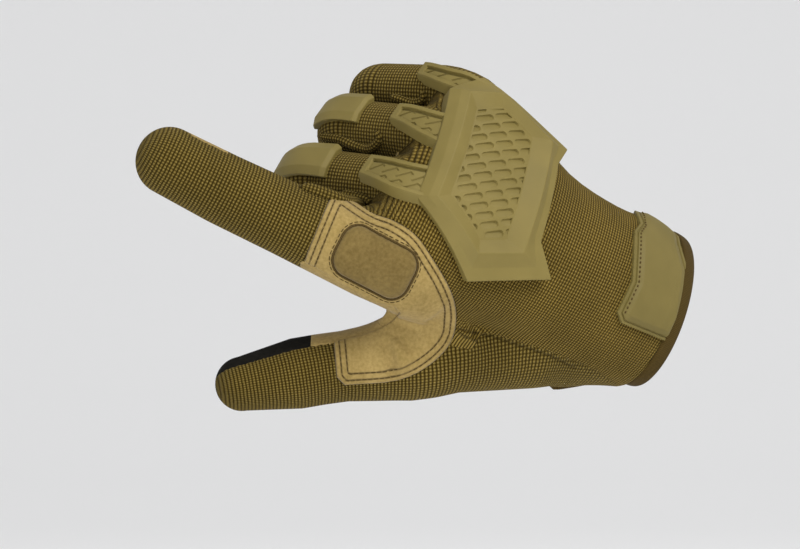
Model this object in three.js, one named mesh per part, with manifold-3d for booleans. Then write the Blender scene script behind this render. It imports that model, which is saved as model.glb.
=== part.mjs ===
// Tactical glove for the right hand in its worn form: index finger pointing, thumb out, the
// other fingers curled. Millimetres, +Z up. The origin is the middle of the wrist opening,
// -X is roughly toward the fingertips and -Y is the side that the back of the hand faces.
import * as THREE from 'three';
import { mergeVertices } from 'three/addons/utils/BufferGeometryUtils.js';
import Module from 'manifold-3d';

const wasm = await Module();
wasm.setup();
const radians = THREE.MathUtils.degToRad;

// Driving dimensions
const WALL = 2; // knit and suede
const GAP = 0.3; // clearance between neighbouring pieces
const PALM_LINE = 0.35; // the suede starts this share of the thickness below the middle
const BINDING_WIDTH = 4.5;
const BINDING_RAISE = 0.7;
const STRAP_START = 6; // distance of the strap from the wrist opening
const STRAP_END = 23;
const STRAP_RAISE = 1.7;
const TAB_RAISE = 2.6;
const PAD_RAISE = 1.9;
const TOUCH_PATCH_END = -116.5; // x where the black patch meets the suede of the thumb
const FINGER_SIDES = 12;
const FINGER_HOLLOW_SIDES = 8;
const HAND_SIDES = 20;
const HAND_HOLLOW_SIDES = 14;
const TIP_ANGLES = [35, 62, 82]; // rings of a round fingertip, in degrees
const STRAIGHT = radians(20); // a joint that turns less has one section
const BEND_STEP = radians(36);
const MOUTH = 6; // how far the hollow runs out past the wrist opening
const WELD = 0.02; // corners closer than this are one
const FAR = 150; // reach of a cutting block

// Directions of the hand
const TO_FINGERS = new THREE.Vector3(-0.8, -0.314, 0.514).normalize();
const TO_LITTLE = new THREE.Vector3(0.35, 0.45, 0.82).normalize();
const OUT_OF_BACK = new THREE.Vector3().crossVectors(TO_LITTLE, TO_FINGERS).normalize();
const OUT_OF_THUMB = new THREE.Vector3(0, -0.45, -0.89).normalize();

// Hand sections from the wrist to the knuckles. columns: centre x, y, z, half width, half
// thickness, lean toward the fingers on the little-finger side in degrees, and the exponent of
// the rounded section, where 2 is an ellipse
const HAND = [
  [0, 0, 0, 27.5, 19, 8, 2],
  [-10, -6.2, 4.7, 28.7, 20, 8, 2],
  [-25.4, -16.5, 10.6, 28.4, 19.5, 5, 2.1],
  [-44.4, -28.4, 20.8, 30.6, 17.5, 0, 2.2],
  [-63, -38, 34.5, 37.5, 16, -4, 2.3],
  [-75, -42, 42.5, 40, 14.5, -5, 2.4],
  [-82, -42.5, 47, 38, 12.5, -5, 2.4],
  [-87, -43, 50, 32, 8, -5, 2.2],
];

// Skin between index finger and thumb.
// columns: centre x, y, z, half length along the hand, half thickness
const WEB = [
  [-88, -46, 11, 20, 10],
  [-80, -42, 1, 17, 9.5],
  [-78, -38.5, -5, 16, 9],
  [-83, -31, -13, 12, 8],
];

// Joint centres of each finger from inside the hand to the tip.
// columns: x, y, z, half width, half thickness, length of the bend on each side
const FINGERS = {
  index: [
    [-76, -45, 9, 11.5, 11.8, 0],
    [-90, -50, 15.5, 14, 12.5, 8],
    [-124, -56, 30.3, 11.9, 11.7, 6],
    [-144, -60, 39.8, 11.5, 11.3, 5],
    [-161, -63, 48.6, 11, 10.6, 0],
  ],
  middle: [
    [-70, -42, 33, 10, 10, 0],
    [-81, -43.5, 38.5, 10.2, 12.4, 8],
    [-124, -16.5, 45.5, 10.2, 10.4, 14],
    [-103.5, 3, 28, 9.6, 9.2, 8],
    [-86, -3, 24, 9, 8.4, 0],
  ],
  ring: [
    [-63, -36, 50, 9.6, 10, 0],
    [-73.5, -36, 56, 9.6, 12, 8],
    [-111, -8.5, 62.8, 9.6, 10, 13],
    [-92, 9, 46, 9.2, 8.8, 8],
    [-75, 3, 41.5, 8.6, 8.1, 0],
  ],
  little: [
    [-60, -25, 67, 8.6, 10, 0],
    [-67, -22.5, 71.5, 8.8, 10.8, 6],
    [-101, 1.5, 76, 8.8, 9.2, 12],
    [-85, 15.5, 62, 8.4, 8.1, 7],
    [-70, 10.5, 58, 7.9, 7.4, 0],
  ],
};

const THUMB = [
  [-14, -6, -10, 15, 14, 0],
  [-38, -13, -7, 19, 17, 8],
  [-77.5, -28, -14.5, 14.5, 13.5, 8],
  [-113.7, -33, -18.7, 11.8, 11.4, 8],
  [-139.1, -37, -23.4, 9.4, 8.6, 0],
];

// Outlines seen along Y. columns: x, z
const WEB_PATCH = [
  [-108.5, 40], [-97, 32.4], [-89.5, 29.6], [-82.5, 25], [-77, 17.4], [-71.5, 8], [-69.2, 0],
  [-70.5, -9], [-77, -16.5], [-88, -22], [-105.5, -23.6], [-108, -21], [-109, -9.7],
  [-100, -7.6], [-94, -5.4], [-89.5, -2.4], [-87.3, 0.4], [-89.5, 2.2], [-97, 3.8],
  [-114.5, 14.8], [-118, 16.5],
];
const WEB_PATCH_SMOOTH = 10; // the outline's rows up to this one lie on one smooth curve
// The palm's suede shows past the patch in the crotch between index finger and thumb
const CROTCH = [
  [-119.3, 17], [-114.3, 15.1], [-97, 4.1], [-89.3, 2.5], [-87, 0.4],
  [-89.2, -2.6], [-94, -5.7], [-100, -7.9], [-109, -10], [-119.3, -10],
];
const PATCH_BACK = new THREE.Vector3(0.122, -0.982, -0.146).normalize();
const PATCH_POINT = new THREE.Vector3(-91, -39, -3);

const PAD_DEPTH = 10; // the pad lies this far in front of the patch's back plane
const PAD = { x: -95.4, z: 16.4, length: 26, height: 16.5, corner: 5.5, turn: -27 };

const TAB_DEPTH = 5; // the tab ends this far in front of the wrist's middle
const OUT_OF_TAB = new THREE.Vector3(0, -1, 0);
const STRAP_TURN = 75; // turn of the strap's two ends round the wrist, in degrees
const STRAP_REACH = 8; // the strap starts this far round from the wrist's middle
const STRAP_TAB = [
  [-9.6, 38], [6, 38], [6.5, 22], [8.6, 13], [6, -3], [2, -10.2], [-15, -3.4], [-16.4, 0],
  [-11.4, 10], [-10, 26.5], [-7.6, 29],
];

// The knuckle guard lies on a crowned surface over the back of the hand. A place on it is p
// toward the fingers and q toward the little finger from this point.
const GUARD_POINT = new THREE.Vector3(-60, -40, 36);
const GUARD_CROWN = { height: 12.6, across: 0.0055, middle: 1, along: 0.011, start: 4 };
const GUARD_STEPS = 2; // places along each side of the guard, so that it follows the crown
const GUARD_SKIRT = 5; // depth of the guard's wall below the crowned surface
const GUARD_FLOOR = 2.7; // height of the recess in the guard
// columns: outer edge p and q, crest p and q, edge of the recess p and q, rise of the middle
// between outer edge and crest
const GUARD_CORNERS = [
  [28.4, 26, 23.2, 26.3, 19, 22.1, 1.5],
  [19.2, 36.6, 13.2, 31.6, 11, 27.7, 0],
  [-16, 28, -8.4, 25.2, -1.9, 23.1, 0],
  [-14, 20, -9.1, 18.9, -2.6, 17.4, 0],
  [-18, -9, -12.5, -11.6, -5.9, -10.2, 0],
  [-27, -18, -13.1, -17, -6.5, -15.2, 0],
  [-2, -33, 0.5, -25, 1.4, -20.1, 0],
  [25.2, -16.9, 20.6, -15.3, 16.6, -11.7, 1.5],
];
// Rings of the guard from its skirt up and in. columns: share of the way from the outer edge to
// the crest, share from there to the recess, shrink toward the middle, height
const GUARD_RINGS = [
  [0, 0, 1, -GUARD_SKIRT],
  [0, 0, 1, 2.4],
  [0.5, 0, 1, 2.9],
  [1, 0, 1, 5.2],
  [1, 1, 1, GUARD_FLOOR],
  [1, 1, 0.5, GUARD_FLOOR],
  [1, 1, 0.05, GUARD_FLOOR],
];
const BRICK = { length: 6.3, height: 1.9, depth: 0.8, pitch: 7.6, rise: 4.15, edge: 2.2 };
const BRICK_ROWS = 8; // rows tried on each side of the recess's middle
const BRICK_COLUMNS = 5;
const BRICK_ROW = new THREE.Vector2(-0.78, 0.62).normalize(); // direction of a row in p and q

// Prongs from the guard over three knuckles, along the middle of their tops.
// columns: p, q, height out of the back of the hand, half width, thickness
const PRONGS = {
  middle: [
    [21, -10.2, 11.6, 6.1, 4],
    [24.7, -10.7, 9.6, 5.9, 4],
    [31, -11, 5.2, 5.5, 4],
    [36, -8.7, -2.4, 4.6, 4],
    [39.5, -6, -11, 3.8, 3.4],
  ],
  ring: [
    [21, 9.4, 11.4, 5.9, 4],
    [25, 9.8, 9.6, 5.8, 4],
    [31, 11.3, 4, 4.8, 4],
    [35.5, 14.1, -3.2, 3.8, 4],
    [38, 16, -9.5, 3.1, 3.4],
  ],
  little: [
    [17, 30, 7.8, 4.2, 4],
    [24, 31.9, 4.3, 3.9, 4],
    [29.5, 33.3, -1.4, 3.3, 4],
    [33, 35.8, -8.2, 2.9, 3.6],
    [34.5, 37.2, -12.4, 2.6, 3.2],
  ],
};
const PRONG_SLOPE = { wide: 1.7, deep: 3.2 }; // of the side toward the thumb
const PRONG_INSET = { rim: 1.5, depth: 1, start: 1.15, end: 3.7 }; // start and end count rows

// Guards on the first finger joint. columns: start and end along the finger, reach round it
// toward the thumb and toward the little finger in degrees, thickness
const FINGER_GUARDS = { middle: [41.5, 60, 27, 40, 2.6], ring: [39, 54, 27, 36, 2.4] };

// Solids from rings of points
function solidFrom(points, faces) {
  const mesh = new wasm.Mesh({
    numProp: 3,
    vertProperties: Float32Array.from(points.flatMap((p) => [p.x, p.y, p.z])),
    triVerts: Uint32Array.from(faces),
  });
  const solid = new wasm.Manifold(mesh);
  return solid.volume() < 0 ? solidFrom(points, faces.toReversed()) : solid;
}

function solidOf(rings) {
  const count = rings[0].length;
  const faces = [];
  for (let r = 0; r + 1 < rings.length; r += 1) {
    for (let i = 0; i < count; i += 1) {
      const a = r * count + i;
      const b = r * count + ((i + 1) % count);
      faces.push(a, b, a + count, b, b + count, a + count);
    }
  }
  const last = (rings.length - 1) * count;
  for (let i = 1; i + 1 < count; i += 1) {
    faces.push(0, i + 1, i, last, last + i, last + i + 1);
  }
  return solidFrom(rings.flat(), faces);
}

function solidOfGeometry(geometry) {
  geometry.deleteAttribute('normal');
  geometry.deleteAttribute('uv');
  const merged = mergeVertices(geometry, 1e-4);
  const place = merged.attributes.position;
  const points = Array.from({ length: place.count },
    (_, i) => new THREE.Vector3().fromBufferAttribute(place, i));
  return solidFrom(points, Array.from(merged.index.array));
}

// Corners of a rectangle: half its width, its bottom and its top
const block = (half, low, high) => [[-half, low], [half, low], [half, high], [-half, high]];
const join = (solids) => solids.reduce((all, next) => all.add(next));
const at = (row) => new THREE.Vector3(row[0], row[1], row[2]);

function ring(centre, side, up, wide, thick, sides, boxiness = 2) {
  return Array.from({ length: sides }, (_, i) => {
    const angle = (2 * Math.PI * (i + 0.5)) / sides;
    const x = Math.sign(Math.cos(angle)) * Math.abs(Math.cos(angle)) ** (2 / boxiness);
    const y = Math.sign(Math.sin(angle)) * Math.abs(Math.sin(angle)) ** (2 / boxiness);
    return centre.clone().addScaledVector(side, wide * x).addScaledVector(up, thick * y);
  });
}

// The half of a section on the palm's side, as four corners
function palmRing(centre, side, up, wide, thick, grow) {
  const line = -PALM_LINE * thick + grow;
  return block(wide + 2, -thick - 1, line).map(([x, y]) => (
    centre.clone().addScaledVector(side, x).addScaledVector(up, y)));
}

// Sections of the hand without its fingers
function handSections() {
  return HAND.map((row) => {
    const [, , , wide, thick, lean, boxiness] = row;
    const side = TO_LITTLE.clone().multiplyScalar(Math.cos(radians(lean)));
    side.addScaledVector(TO_FINGERS, Math.sin(radians(lean)));
    return { centre: at(row), side, up: OUT_OF_BACK, wide, thick, boxiness };
  });
}

const WRIST_SIDE = handSections()[0].side;
const WRIST_IN = new THREE.Vector3().crossVectors(OUT_OF_BACK, WRIST_SIDE).normalize();

function handSolid(grow, mouth = 0) {
  const sides = grow < 0 ? HAND_HOLLOW_SIDES : HAND_SIDES;
  const sections = handSections();
  sections.at(-1).centre.addScaledVector(TO_FINGERS, grow);
  const first = sections[0];
  if (mouth > 0) {
    sections.unshift({ ...first, centre: first.centre.clone().addScaledVector(WRIST_IN, -mouth) });
  }
  return solidOf(sections.map((s) => ring(
    s.centre, s.side, s.up, s.wide + grow, s.thick + grow, sides, s.boxiness)));
}

function webSolid(grow) {
  const sides = grow < 0 ? FINGER_HOLLOW_SIDES : FINGER_SIDES;
  return solidOf(WEB.map((row) => ring(
    at(row), TO_FINGERS, OUT_OF_BACK, row[3] + grow, row[4] + grow, sides)));
}

// Sections along a limb: straight stretches joined by smooth bends
function limbSections(rows, outward) {
  const joints = rows.map(at);
  const list = [];
  joints.forEach((joint, i) => {
    const [, , , wide, thick, bend] = rows[i];
    if (i === 0 || i === joints.length - 1) {
      list.push({ centre: joint, wide, thick });
      return;
    }
    const back = joints[i - 1].clone().sub(joint).setLength(bend);
    const on = joints[i + 1].clone().sub(joint).setLength(bend);
    const turn = Math.PI - back.angleTo(on);
    if (turn < STRAIGHT) {
      list.push({ centre: joint, wide, thick });
      return;
    }
    const steps = Math.max(2, Math.ceil(turn / BEND_STEP));
    const toMiddle = back.clone().add(on).setLength(bend / Math.cos((Math.PI - turn) / 2));
    const middle = joint.clone().add(toMiddle);
    const axis = new THREE.Vector3().crossVectors(on, back).normalize();
    const start = joint.clone().add(back).sub(middle);
    for (let k = 0; k <= steps; k += 1) {
      const arm = start.clone().applyAxisAngle(axis, (turn * k) / steps);
      list.push({ centre: middle.clone().add(arm), wide, thick });
    }
  });
  list.forEach((section, i) => {
    const before = list[Math.max(0, i - 1)].centre;
    const after = list[Math.min(list.length - 1, i + 1)].centre;
    section.ahead = after.clone().sub(before).normalize();
  });
  const side = new THREE.Vector3().crossVectors(list[0].ahead, outward).normalize();
  list.forEach((section) => {
    const across = side.clone().addScaledVector(section.ahead, -side.dot(section.ahead));
    section.side = across.normalize();
    section.up = new THREE.Vector3().crossVectors(section.side, section.ahead).normalize();
  });
  return list;
}

function limbSolid(rows, outward, grow) {
  const sides = grow < 0 ? FINGER_HOLLOW_SIDES : FINGER_SIDES;
  const sections = limbSections(rows, outward);
  sections[0].centre.addScaledVector(sections[0].ahead, -grow);
  const rings = sections.map((s) => ring(
    s.centre, s.side, s.up, s.wide + grow, s.thick + grow, sides));
  const end = sections.at(-1);
  TIP_ANGLES.forEach((degrees) => {
    const shrink = Math.cos(radians(degrees));
    const reach = (end.thick + grow) * Math.sin(radians(degrees));
    const centre = end.centre.clone().addScaledVector(end.ahead, reach);
    rings.push(ring(
      centre, end.side, end.up, (end.wide + grow) * shrink, (end.thick + grow) * shrink, sides));
  });
  return solidOf(rings);
}

function limbPalm(rows, outward, grow) {
  const sections = limbSections(rows, outward);
  const end = sections.at(-1);
  const beyond = { ...end, centre: end.centre.clone().addScaledVector(end.ahead, end.thick + 2) };
  return solidOf([...sections, beyond].map((s) => palmRing(
    s.centre, s.side, s.up, s.wide, s.thick, grow)));
}

// A block between two planes across `axis`, at distances from and to
function slab(axis, from, to, origin = new THREE.Vector3()) {
  const other = new THREE.Vector3().crossVectors(axis, TO_LITTLE).normalize();
  const side = new THREE.Vector3().crossVectors(other, axis).normalize();
  return solidOf([from, to].map((distance) => {
    const centre = origin.clone().addScaledVector(axis, distance);
    return block(FAR, -FAR, FAR).map(([x, y]) => centre.clone()
      .addScaledVector(side, x).addScaledVector(other, y));
  }));
}

// The palm's side of the hand, which ends behind the suede patch between index finger and thumb
function handPalm(grow) {
  const sections = handSections();
  const end = sections.at(-1);
  const beyond = { ...end, centre: end.centre.clone().addScaledVector(TO_FINGERS, WALL * 2) };
  const half = solidOf([...sections, beyond].map((s) => palmRing(
    s.centre, s.side, s.up, s.wide, s.thick, grow)));
  return half.subtract(slab(PATCH_BACK, grow, FAR, PATCH_POINT));
}

// A prism along Y behind an outline in x and z
function prism(shape) {
  const settings = { depth: FAR, bevelEnabled: false, curveSegments: 4 };
  const geometry = new THREE.ExtrudeGeometry(shape, settings);
  geometry.rotateX(Math.PI / 2);
  return solidOfGeometry(geometry);
}

// A closed outline, grown by `grow`, whose first rows lie on one smooth curve
function outline(rows, grow, smooth = 1) {
  const points = rows.map(([x, z]) => new THREE.Vector2(x, z));
  const curve = new THREE.SplineCurve(points.slice(0, smooth + 1)).getPoints(smooth * 1.5);
  return new THREE.Shape(offset([...curve, ...points.slice(smooth + 1)], grow));
}

// Moves each side of a closed outline outward by `distance`
function offset(points, distance) {
  const turn = Math.sign(THREE.ShapeUtils.area(points));
  const normal = (a, b) => new THREE.Vector2(b.y - a.y, a.x - b.x).normalize().multiplyScalar(turn);
  return points.map((point, i) => {
    const before = normal(points.at(i - 1), point);
    const after = normal(point, points[(i + 1) % points.length]);
    const middle = before.clone().add(after).normalize();
    return point.clone().addScaledVector(middle, distance / Math.max(0.5, middle.dot(after)));
  });
}

function roundedRectangle({ x, z, length, height, corner, turn }) {
  const shape = new THREE.Shape();
  const half = new THREE.Vector2(length / 2 - corner, height / 2 - corner);
  const centre = new THREE.Vector2(x, z);
  [[1, 1], [-1, 1], [-1, -1], [1, -1]].forEach(([sx, sz], i) => {
    const middle = new THREE.Vector2(centre.x + sx * half.x, centre.y + sz * half.y);
    middle.rotateAround(centre, radians(turn));
    const start = (i * Math.PI) / 2 + radians(turn);
    shape.absarc(middle.x, middle.y, corner, start, start + Math.PI / 2, false);
  });
  return shape;
}

// Whole forms at one growth: the core is the hand with its web, and the limbs leave it
const LIMBS = Object.entries(FINGERS).map(([name, rows]) => ({ name, rows, outward: OUT_OF_BACK }));
LIMBS.push({ name: 'thumb', rows: THUMB, outward: OUT_OF_THUMB });
const core = (grow) => handSolid(grow).add(webSolid(grow));
const limb = ({ rows, outward }, grow) => limbSolid(rows, outward, grow);
const whole = (grow) => join([core(grow), ...LIMBS.map((l) => limb(l, grow))]);

const cavity = join([handSolid(-WALL, MOUTH), webSolid(-WALL), ...LIMBS.map((l) => limb(l, -WALL))]);
const outer = whole(0);
const clearOfCore = core(GAP);
const clearOfCloth = whole(GAP);
const cuffEnd = slab(WRIST_IN, -MOUTH * 2, BINDING_WIDTH + GAP);

// The suede patch between index finger and thumb, and the space that it needs
const patchFront = slab(PATCH_BACK, 0, FAR, PATCH_POINT);
const patchFrontWide = slab(PATCH_BACK, -GAP, FAR, PATCH_POINT);
const patchPrism = prism(outline(WEB_PATCH, 0, WEB_PATCH_SMOOTH)).intersect(patchFront);
const patchSpace = prism(outline(WEB_PATCH, GAP, WEB_PATCH_SMOOTH)).intersect(patchFrontWide);

const crotchSpace = prism(outline(CROTCH, GAP));
const crotch = prism(outline(CROTCH, 0));

// Keeps the largest body of a cut piece, which drops the crumbs that the cut leaves, and welds
// the corners that lie closer than WELD
function largestBody(solid) {
  const { vertProperties, triVerts } = solid.getMesh();
  const parent = Array.from({ length: vertProperties.length / 3 }, (_, i) => i);
  const root = (i) => {
    let top = i;
    while (parent[top] !== top) top = parent[top];
    parent[i] = top;
    return top;
  };
  for (let t = 0; t < triVerts.length; t += 3) {
    parent[root(triVerts[t])] = root(triVerts[t + 1]);
    parent[root(triVerts[t + 1])] = root(triVerts[t + 2]);
  }
  const corner = (i) => new THREE.Vector3().fromArray(vertProperties, 3 * i);
  const bodies = new Map();
  for (let t = 0; t < triVerts.length; t += 3) {
    const body = bodies.get(root(triVerts[t])) ?? { volume: 0, faces: [] };
    const [a, b, c] = [0, 1, 2].map((k) => corner(triVerts[t + k]));
    body.volume += a.dot(b.cross(c));
    body.faces.push(triVerts[t], triVerts[t + 1], triVerts[t + 2]);
    bodies.set(root(triVerts[t]), body);
  }
  const largest = [...bodies.values()].reduce((best, next) => (next.volume > best.volume ? next : best));
  const snapped = new Map();
  const points = [];
  const weld = (vertex) => {
    const place = corner(vertex).divideScalar(WELD).round();
    const key = place.toArray().join();
    if (!snapped.has(key)) {
      snapped.set(key, points.length);
      points.push(place.multiplyScalar(WELD));
    }
    return snapped.get(key);
  };
  const faces = [];
  for (let t = 0; t < largest.faces.length; t += 3) {
    const [a, b, c] = largest.faces.slice(t, t + 3).map(weld);
    if (a !== b && b !== c && c !== a) faces.push(a, b, c);
  }
  return solidFrom(points, faces);
}

const pieces = [];
const addPiece = (name, solid, colour) => pieces.push({ name, solid: largestBody(solid), colour });
const KNIT = 0x67552a;
const SUEDE = 0xa08957;
const RUBBER = 0x93855a;
const BLACK = 0x141310;
const BINDING = 0x5c4a2e;

function addHand() {
  const shell = core(0).subtract(cavity).subtract(cuffEnd).subtract(patchSpace);
  addPiece('back_panel', shell.subtract(handPalm(GAP)).subtract(crotchSpace), KNIT);
  addPiece('palm_panel', shell.intersect(handPalm(0).add(crotch)), SUEDE);
}

function addLimb(each) {
  const shell = limb(each, 0).subtract(cavity).subtract(clearOfCore).subtract(patchSpace)
    .subtract(cuffEnd);
  const palm = shell.intersect(limbPalm(each.rows, each.outward, 0).add(crotch));
  const palmSpace = limbPalm(each.rows, each.outward, GAP).add(crotchSpace);
  addPiece(`${each.name}_back`, shell.subtract(palmSpace), KNIT);
  if (each.name !== 'thumb') {
    addPiece(`${each.name}_palm`, palm, SUEDE);
    return;
  }
  const along = new THREE.Vector3(-1, 0, 0);
  addPiece('thumb_palm', palm.subtract(slab(along, -TOUCH_PATCH_END - GAP, FAR * 2)), SUEDE);
  addPiece('touch_patch', palm.intersect(slab(along, -TOUCH_PATCH_END, FAR * 2)), BLACK);
}

function addPatch() {
  addPiece('web_patch', outer.subtract(cavity).intersect(patchPrism), SUEDE);
  const front = slab(PATCH_BACK, PAD_DEPTH, FAR, PATCH_POINT);
  const padSpace = prism(roundedRectangle(PAD)).intersect(front);
  addPiece('web_pad', whole(PAD_RAISE).subtract(clearOfCloth).intersect(padSpace), SUEDE);
}

function crown(p, q) {
  const { height, across, middle, along, start } = GUARD_CROWN;
  return height - across * (q - middle) ** 2 - along * Math.max(0, p - start) ** 2;
}

function guardPlace(p, q, height) {
  return GUARD_POINT.clone().addScaledVector(TO_FINGERS, p).addScaledVector(TO_LITTLE, q)
    .addScaledVector(OUT_OF_BACK, height);
}

const recessCorners = GUARD_CORNERS.map((row) => new THREE.Vector2(row[4], row[5]));
const recessMiddle = recessCorners.reduce((sum, c) => sum.add(c), new THREE.Vector2())
  .divideScalar(recessCorners.length);

function guardBody() {
  return solidOf(GUARD_RINGS.map(([toCrest, toRecess, shrink, height]) => {
    const corners = GUARD_CORNERS.map((row) => {
      const corner = new THREE.Vector2(row[0], row[1]);
      corner.lerp(new THREE.Vector2(row[2], row[3]), toCrest);
      corner.lerp(new THREE.Vector2(row[4], row[5]), toRecess);
      corner.lerp(recessMiddle, 1 - shrink);
      return new THREE.Vector3(corner.x, corner.y, height + row[6] * 4 * toCrest * (1 - toCrest));
    });
    return corners.flatMap((corner, i) => {
      const next = corners[(i + 1) % corners.length];
      return Array.from({ length: GUARD_STEPS }, (_, k) => {
        const place = corner.clone().lerp(next, k / GUARD_STEPS);
        return guardPlace(place.x, place.y, crown(place.x, place.y) + place.z);
      });
    });
  }));
}

// True where a place is inside the recess and at least `edge` from its border
function inRecess(place, edge) {
  const turn = Math.sign(THREE.ShapeUtils.area(recessCorners));
  return recessCorners.every((a, i) => {
    const b = recessCorners[(i + 1) % recessCorners.length];
    const side = b.clone().sub(a).normalize();
    return turn * side.cross(place.clone().sub(a)) > edge;
  });
}

// The slots of the brick relief, each cut into the floor of the recess
function brickSlots() {
  const stack = new THREE.Vector2(0, -BRICK.rise);
  const slots = [];
  for (let row = -BRICK_ROWS; row <= BRICK_ROWS; row += 1) {
    for (let k = -BRICK_COLUMNS; k <= BRICK_COLUMNS; k += 1) {
      const shift = (k + (Math.abs(row) % 2) / 2) * BRICK.pitch;
      const middle = recessMiddle.clone().addScaledVector(stack, row).addScaledVector(BRICK_ROW, shift);
      if (inRecess(middle, BRICK.edge)) slots.push(brickSlot(middle));
    }
  }
  return slots;
}

function brickSlot(middle) {
  const across = new THREE.Vector2(-BRICK_ROW.y, BRICK_ROW.x);
  const corners = block(BRICK.length / 2, -BRICK.height / 2, BRICK.height / 2);
  return solidOf([GUARD_FLOOR - BRICK.depth, GUARD_FLOOR + 1].map((height) => corners.map(([x, y]) => {
    const corner = middle.clone().addScaledVector(BRICK_ROW, x).addScaledVector(across, y);
    return guardPlace(corner.x, corner.y, crown(corner.x, corner.y) + height);
  })));
}

// One prong as a bar with a chamfered top, or the panel sunk into it
function prong(rows, inset = null) {
  const places = rows.map(([p, q, height]) => guardPlace(p, q, height));
  const path = new THREE.CatmullRomCurve3(places);
  const last = rows.length - 1;
  const from = inset ? inset.start : 0;
  const to = inset ? inset.end : last;
  const steps = 5;
  return solidOf(Array.from({ length: steps + 1 }, (_, i) => {
    const along = from + ((to - from) * i) / steps;
    const centre = path.getPoint(along / last);
    const ahead = path.getTangent(along / last);
    const side = TO_LITTLE.clone().addScaledVector(ahead, -TO_LITTLE.dot(ahead)).normalize();
    const up = new THREE.Vector3().crossVectors(side, ahead).normalize();
    const row = rows[Math.min(last - 1, Math.floor(along))];
    const next = rows[Math.min(last, Math.floor(along) + 1)];
    const half = THREE.MathUtils.lerp(row[3], next[3], along - Math.floor(along));
    const thick = THREE.MathUtils.lerp(row[4], next[4], along - Math.floor(along));
    const corners = inset
      ? block(half - inset.rim, -inset.depth, inset.depth)
      : [[-half - PRONG_SLOPE.wide, -thick - 2], [half, -thick - 2], [half, -1], [half - 1, 0],
        [0.5 - half, 0], [-half - PRONG_SLOPE.wide, -PRONG_SLOPE.deep]];
    return corners.map(([x, y]) => centre.clone().addScaledVector(side, x).addScaledVector(up, y));
  }));
}

function addKnuckleGuard() {
  const prongs = Object.values(PRONGS);
  const body = join([guardBody(), ...prongs.map((rows) => prong(rows))]);
  const cuts = [clearOfCloth, ...brickSlots(), ...prongs.map((rows) => prong(rows, PRONG_INSET))];
  addPiece('knuckle_guard', body.subtract(join(cuts)), RUBBER);
}

// A moulded shell over the back of a finger between two distances from its root joint
function addFingerGuard(name, [start, end, toThumb, toLittle, thickness]) {
  const sections = limbSections(FINGERS[name], OUT_OF_BACK);
  const path = new THREE.CurvePath();
  sections.slice(1).forEach((s, i) => path.add(new THREE.LineCurve3(sections[i].centre, s.centre)));
  const lengths = path.getCurveLengths();
  const rings = [0, 0.12, 0.5, 0.88, 1].map((share, i, all) => {
    const distance = THREE.MathUtils.lerp(start, end, share);
    const index = lengths.findIndex((length) => length >= distance);
    const before = sections[index];
    const after = sections[index + 1];
    const mix = 1 - (lengths[index] - distance) / before.centre.distanceTo(after.centre);
    const centre = before.centre.clone().lerp(after.centre, mix);
    const side = before.side.clone().lerp(after.side, mix).normalize();
    const up = before.up.clone().lerp(after.up, mix).normalize();
    const raise = i === 0 || i === all.length - 1 ? thickness * 0.5 : thickness;
    const place = (degrees, radius) => centre.clone()
      .addScaledVector(side, radius * Math.sin(radians(degrees)))
      .addScaledVector(up, radius * Math.cos(radians(degrees)));
    const thick = THREE.MathUtils.lerp(before.thick, after.thick, mix);
    const angles = [-toThumb, -toThumb * 0.45, toLittle * 0.55, toLittle];
    return [...angles.map((degrees) => place(degrees, thick + raise)),
      place(toLittle, thick - 3), place(0, thick - 3), place(-toThumb, thick - 3)];
  });
  addPiece(`${name}_guard`, solidOf(rings).subtract(clearOfCloth), RUBBER);
}

// The binding of the opening, the strap round the palm's side and the tab on its end
function addCuff() {
  addPiece('cuff_binding', handSolid(BINDING_RAISE).subtract(cavity)
    .intersect(slab(WRIST_IN, -1, BINDING_WIDTH)), BINDING);
  const front = slab(OUT_OF_TAB, TAB_DEPTH, FAR).subtract(cuffEnd);
  const tabPrism = prism(outline(STRAP_TAB, 0)).intersect(front);
  const tabSpace = prism(outline(STRAP_TAB, GAP)).intersect(slab(OUT_OF_TAB, TAB_DEPTH - GAP, FAR));
  addPiece('strap_tab', handSolid(TAB_RAISE).subtract(clearOfCloth).intersect(tabPrism), RUBBER);
  const palmSide = WRIST_SIDE.clone().multiplyScalar(-Math.cos(radians(STRAP_TURN)))
    .addScaledVector(OUT_OF_BACK, Math.sin(radians(STRAP_TURN))).negate();
  addPiece('wrist_strap', handSolid(STRAP_RAISE).subtract(clearOfCloth)
    .intersect(slab(WRIST_IN, STRAP_START, STRAP_END))
    .intersect(slab(palmSide, STRAP_REACH, FAR)).subtract(tabSpace), KNIT);
}

addKnuckleGuard();
Object.entries(FINGER_GUARDS).forEach(([name, sizes]) => addFingerGuard(name, sizes));
addCuff();
addHand();
LIMBS.forEach(addLimb);
addPatch();

const glove = new THREE.Group();
pieces.forEach(({ name, solid, colour }) => {
  const { vertProperties, triVerts } = solid.getMesh();
  const geometry = new THREE.BufferGeometry();
  geometry.setAttribute('position', new THREE.BufferAttribute(vertProperties, 3));
  geometry.setIndex(new THREE.BufferAttribute(triVerts, 1));
  const material = new THREE.MeshStandardMaterial({ color: colour, roughness: 0.85, metalness: 0 });
  const mesh = new THREE.Mesh(geometry, material);
  mesh.name = name;
  glove.add(mesh);
});

export default glove;
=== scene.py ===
"""Tactical glove for the right hand in its worn form, dressed over its frame of solids.

Lengths are in millimetres until a mesh is made. The origin is the middle of the wrist opening,
-X runs roughly toward the fingertips and -Y is the side that the back of the hand faces.
"""

import bpy
import numpy as np
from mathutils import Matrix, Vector
from mathutils.geometry import delaunay_2d_cdt


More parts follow.
